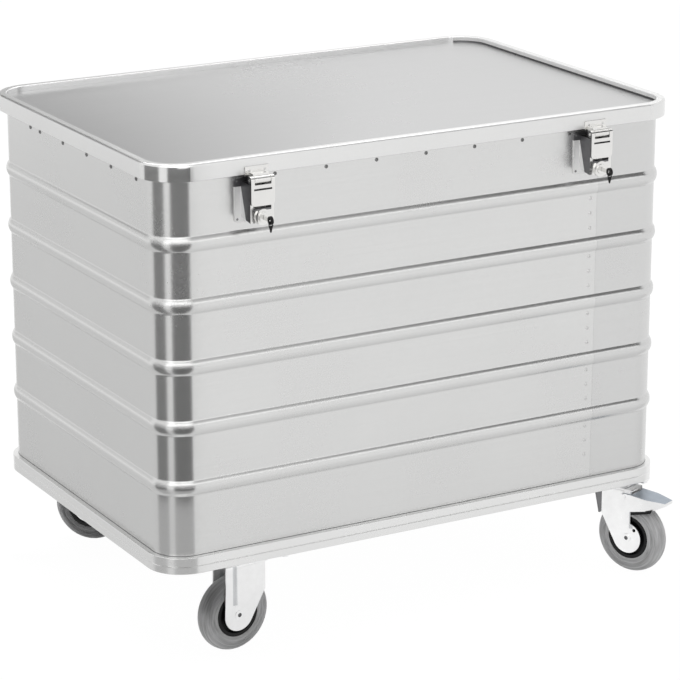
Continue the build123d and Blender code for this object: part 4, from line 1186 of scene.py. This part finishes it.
# Studio, in metres; a level of 1 is white
WHITE = (1.0, 1.0, 1.0, 1.0)
BLACK = (0.0, 0.0, 0.0, 1.0)
HORIZON = 0.25
OVERHEAD_SHARE = 1.8
FLOOR_REACH = 30.0
FLOOR_GLOW = 1.03
FLOOR_GLOW_SHARE = 0.95
FLOOR_COLOUR = (0.9, 0.9, 0.9, 1.0)
FRONT_LAMP_SHARE = 0.6
MAT_HEIGHT = 0.003
BEHIND, FAR_BEHIND, IN_FRONT = 1.5, 4.0, -4.0
BLIND_PLACES = (((-0.561, -0.216), (-0.555, -0.328), 0.22), ((-0.526, -0.371), (-0.366, -0.414), 0.17))
BLIND_SKIRT, BLIND_FOOT, BLIND_TOP = 0.08, 0.235, 0.79
BLIND_SKIRT_LEVEL = 0.5
SLAT_PITCH, SLAT_OUT, SLAT_RISE = 0.012, 0.0123, 0.0086
FLAG_WAY = Vector((-0.49, -0.87, 0.0))
FLAG_HALF = 0.14


class CART_OT_studio(bpy.types.Operator):
    """Sets up the floor, the white room, its soft lamps and the camera"""

    bl_idname = "cart.studio"
    bl_label = "Studio"

    def execute(self, context):
        stage = context.scene.cart_stage
        context.scene.view_settings.view_transform = "Standard"
        self.room(context.scene, stage)
        self.floor()
        self.lamps(stage)
        self.cards()
        self.flags()
        self.camera(context.scene, stage)
        return {"FINISHED"}

    def seen_directly(self, desk):
        """1 for rays from the camera, mirrors and glass, 0 for the light on matt surfaces."""
        path = desk.add("ShaderNodeLightPath")
        seen = desk.sum("MAXIMUM", path.outputs["Is Camera Ray"], path.outputs["Is Glossy Ray"])
        return desk.sum("MAXIMUM", seen, path.outputs["Is Transmission Ray"])

    def room(self, scene, stage):
        """A white room, whose light on matt surfaces comes from above."""
        world = bpy.data.worlds.new("White room")
        scene.world = world
        world.use_nodes = True
        world.node_tree.nodes.clear()
        desk = NodeDesk(world.node_tree)
        way = desk.add("ShaderNodeTexCoord").outputs["Generated"]
        up = desk.add("ShaderNodeSeparateXYZ", {"Vector": way}).outputs["Z"]
        overhead = between(desk, up, 0.0, OVERHEAD_SHARE * stage.room_light, HORIZON, 1.0)
        level = desk.choose(self.seen_directly(desk), 1.0, overhead)
        light = desk.add("ShaderNodeBackground", {"Color": WHITE, "Strength": level})
        end = desk.add("ShaderNodeOutputWorld")
        world.node_tree.links.new(light.outputs[0], end.inputs["Surface"])

    def floor(self):
        """A white floor that keeps the cart's shadow."""
        far = FLOOR_REACH
        corners = [(-far, -far, 0), (far, -far, 0), (far, far, 0), (-far, far, 0)]
        floor = new_object("floor", mesh_from("floor", corners, faces=[(0, 1, 2, 3)]))
        material, desk, surface = empty_material("White floor")
        glow = desk.add("ShaderNodeEmission", {"Color": WHITE, "Strength": FLOOR_GLOW})
        matt = desk.add("ShaderNodeBsdfDiffuse", {"Color": FLOOR_COLOUR})
        share = desk.sum("MULTIPLY", self.seen_directly(desk), FLOOR_GLOW_SHARE)
        mix = desk.add("ShaderNodeMixShader", {0: share, 1: matt.outputs[0], 2: glow.outputs[0]})
        desk.feed(surface, mix.outputs[0])
        paint(floor, material)

    def lamps(self, stage):
        """One soft lamp over and behind the cart, and one in front of it."""
        front_level = FRONT_LAMP_SHARE * stage.lamp_level
        for name, place, aim, wide, deep, level in (
            ("Overhead", (0.5, 1.3, 3.2), (0.1, 0.0, 0.7), 3.2, 2.0, stage.lamp_level),
            ("Front", (-1.6, -3.4, 2.6), (0.0, -0.1, 0.4), 2.0, 1.4, front_level),
        ):
            lamp = bpy.data.lights.new(name, "AREA")
            lamp.shape = "RECTANGLE"
            lamp.size, lamp.size_y = wide, deep
            lamp.energy = level * math.pi * wide * deep
            obj = new_object(name, lamp)
            obj.location = place
            obj.rotation_euler = (Vector(aim) - Vector(place)).to_track_quat("-Z", "Y").to_euler()

    def cards(self):
        """Reflector cards and slatted blinds round the cart, which only its bright metal mirrors."""
        quads = [
            # On the floor in front
            self.mat(((-0.4, -0.32), (1.3, -0.32), (1.3, -0.75), (-0.4, -0.75)), (0.80, 0.80, 0.94, 0.94)),
            self.mat(((-0.6, -0.75), (1.5, -0.75), (1.5, -1.3), (-0.6, -1.3)), (0.94, 0.94, 0.98, 0.98)),
            # Behind, for the lid
            self.upright((-1.5, BEHIND), (0.1, BEHIND), 0.95, 1.35, (1.15, 1.15, 0.03, 0.03)),
            self.upright((0.1, BEHIND), (0.85, BEHIND), 0.95, 1.35, (1.15, 1.1, 0.85, 0.03)),
            self.upright((-1.5, BEHIND), (0.1, BEHIND), 1.35, 2.3, (0.03, 0.03, 0.2, 0.2)),
            self.upright((0.1, BEHIND), (0.85, BEHIND), 1.35, 2.3, (0.03, 0.88, 1.0, 0.2)),
            # Far behind, for the left wall
            self.upright((-4.6, FAR_BEHIND), (-1.1, FAR_BEHIND), 0.8, 8.0, (0.78,) * 4),
            # In front at the right, for the beads: bright below, and darker above towards the right
            self.upright((0.8, IN_FRONT), (3.6, IN_FRONT), 1.8, 2.25, (1.8,) * 4),
            self.upright((0.8, IN_FRONT), (2.3, IN_FRONT), 2.25, 2.8, (0.95, 0.95, 0.62, 0.80)),
            self.upright((0.8, IN_FRONT), (2.3, IN_FRONT), 2.8, 8.5, (0.80, 0.62, 0.62, 0.80)),
            self.upright((2.3, IN_FRONT), (3.2, IN_FRONT), 2.25, 2.8, (0.95, 0.80, 0.03, 0.62)),
            self.upright((2.3, IN_FRONT), (3.2, IN_FRONT), 2.8, 8.5, (0.62, 0.03, 0.03, 0.62)),
            self.upright((3.2, IN_FRONT), (5.6, IN_FRONT), 2.25, 2.8, (0.80, 0.80, 0.02, 0.03)),
            self.upright((3.2, IN_FRONT), (5.6, IN_FRONT), 2.8, 8.5, (0.03, 0.02, 0.02, 0.03)),
            # At the left, one standing in front and one on the floor
            self.upright((-1.9, -0.8), (0.05, -1.7), 0.8, 2.0, (1.7,) * 4),
            self.mat(((-0.5, -1.0), (-0.5, 3.5), (-3.5, 3.5), (-3.5, -1.0)), (0.72, 0.72, 0.95, 0.95)),
        ]
        for turn in (1, -1):
            for (a, b), (c, d), level in BLIND_PLACES:
                start, end = (turn * a, turn * b), (turn * c, turn * d)
                quads += self.blind(start, end, level)
                quads.append(self.upright(start, end, BLIND_SKIRT, BLIND_FOOT, (BLIND_SKIRT_LEVEL,) * 4))
        vertices = [corner for corners, levels in quads for corner in corners]
        levels = [level for corners, levels in quads for level in levels]
        faces = [tuple(range(4 * k, 4 * k + 4)) for k in range(len(quads))]
        obj = new_object("reflector_cards", mesh_from("reflector_cards", vertices, faces=faces))
        tones = obj.data.attributes.new("level", "FLOAT", "POINT")
        tones.data.foreach_set("value", levels)
        material, desk, surface = empty_material("Reflector card")
        level = desk.add("ShaderNodeAttribute", attribute_name="level").outputs["Fac"]
        glow = desk.add("ShaderNodeEmission", {"Color": WHITE, "Strength": level})
        desk.feed(surface, glow.outputs[0])
        paint(obj, material)
        obj.visible_camera = False
        obj.visible_diffuse = False
        obj.visible_shadow = False
        obj.visible_transmission = False

    def flags(self):
        """Black flags that keep soft light off the two left-hand tyres."""
        across = Vector((-FLAG_WAY.y, FLAG_WAY.x, 0.0)) * FLAG_HALF
        vertices = []
        for corner, away, foot, top in (("rl", 0.08, 0.0, 0.17), ("fl", 0.075, 0.07, 0.16)):
            hub = Vector(JOINTS["roll_" + corner]["pos_m"])
            middle = Vector((hub.x, hub.y, 0.0)) + FLAG_WAY * away
            corners, levels = self.upright((middle - across).xy, (middle + across).xy, foot, top, ())
            vertices += corners
        faces = [(0, 1, 2, 3), (4, 5, 6, 7)]
        obj = new_object("black_flags", mesh_from("black_flags", vertices, faces=faces))
        material, desk, skin = blank_material("Black flag")
        skin.inputs["Base Color"].default_value = BLACK
        skin.inputs["Specular IOR Level"].default_value = 0.0
        paint(obj, material)
        obj.visible_camera = False
        obj.visible_glossy = False

    def mat(self, places, levels):
        """A card on the floor between four (x, y) places, graded between the levels of its corners."""
        return [(x, y, MAT_HEIGHT) for x, y in places], levels

    def upright(self, start, end, foot, top, levels):
        """A standing card between two (x, y) places, graded between the levels of its corners."""
        return [(*start, foot), (*end, foot), (*end, top), (*start, top)], levels

    def blind(self, start, end, level):
        """Slats that stop what looks down at the floor and let through what looks up."""
        along = Vector((end[0] - start[0], end[1] - start[1], 0.0)).normalized()
        out = Vector((along.y, -along.x, 0.0))
        if out.dot(Vector((*start, 0.0))) < 0:
            out.negate()
        lean = out * SLAT_OUT + UP * SLAT_RISE
        slats = []
        for k in range(int((BLIND_TOP - BLIND_FOOT) / SLAT_PITCH)):
            a = Vector((*start, BLIND_FOOT + SLAT_PITCH * k))
            b = Vector((*end, BLIND_FOOT + SLAT_PITCH * k))
            slats.append(([a, b, b + lean, a + lean], (level,) * 4))
        return slats

    def camera(self, scene, stage):
        camera = bpy.data.cameras.new("Camera")
        camera.lens = stage.camera_lens
        camera.sensor_width = 36.0
        camera.clip_end = 100.0
        obj = new_object("Camera", camera)
        obj.location = stage.camera_place
        obj.rotation_euler = stage.camera_turn
        scene.camera = obj


class CART_PT_sidebar(bpy.types.Panel):
    """Lists the steps that dress the cart"""

    bl_idname = "CART_PT_sidebar"
    bl_label = "Transport cart"
    bl_space_type = "VIEW_3D"
    bl_region_type = "UI"
    bl_category = "Cart"

    def draw(self, context):
        for group in GROUPS:
            box = self.layout.box()
            settings = getattr(context.scene, group)
            for key in settings.bl_rna.properties.keys():
                if key not in ("rna_type", "name"):
                    box.prop(settings, key)
        for step in STEPS:
            self.layout.operator(step.bl_idname)


GROUPS = {
    "cart_sheets": CartSheets,
    "cart_rivets": CartRivets,
    "cart_finishes": CartFinishes,
    "cart_stage": CartStage,
}
STEPS = (
    CART_OT_wall_sheets, CART_OT_box_frame, CART_OT_hinges, CART_OT_locks, CART_OT_castors, CART_OT_rivets,
    CART_OT_studio,
)


def register():
    for name, group in GROUPS.items():
        bpy.utils.register_class(group)
        setattr(bpy.types.Scene, name, bpy.props.PointerProperty(type=group))
    for cls in (*STEPS, CART_PT_sidebar):
        bpy.utils.register_class(cls)


def unregister():
    for cls in (CART_PT_sidebar, *reversed(STEPS)):
        bpy.utils.unregister_class(cls)
    for name, group in reversed(GROUPS.items()):
        delattr(bpy.types.Scene, name)
        bpy.utils.unregister_class(group)


def main():
    register()
    bpy.ops.cart.wall_sheets()
    bpy.ops.cart.box_frame()
    bpy.ops.cart.hinges()
    bpy.ops.cart.locks()
    bpy.ops.cart.castors()
    bpy.ops.cart.rivets()
    bpy.ops.cart.studio()


if __name__ == "__main__":
    main()
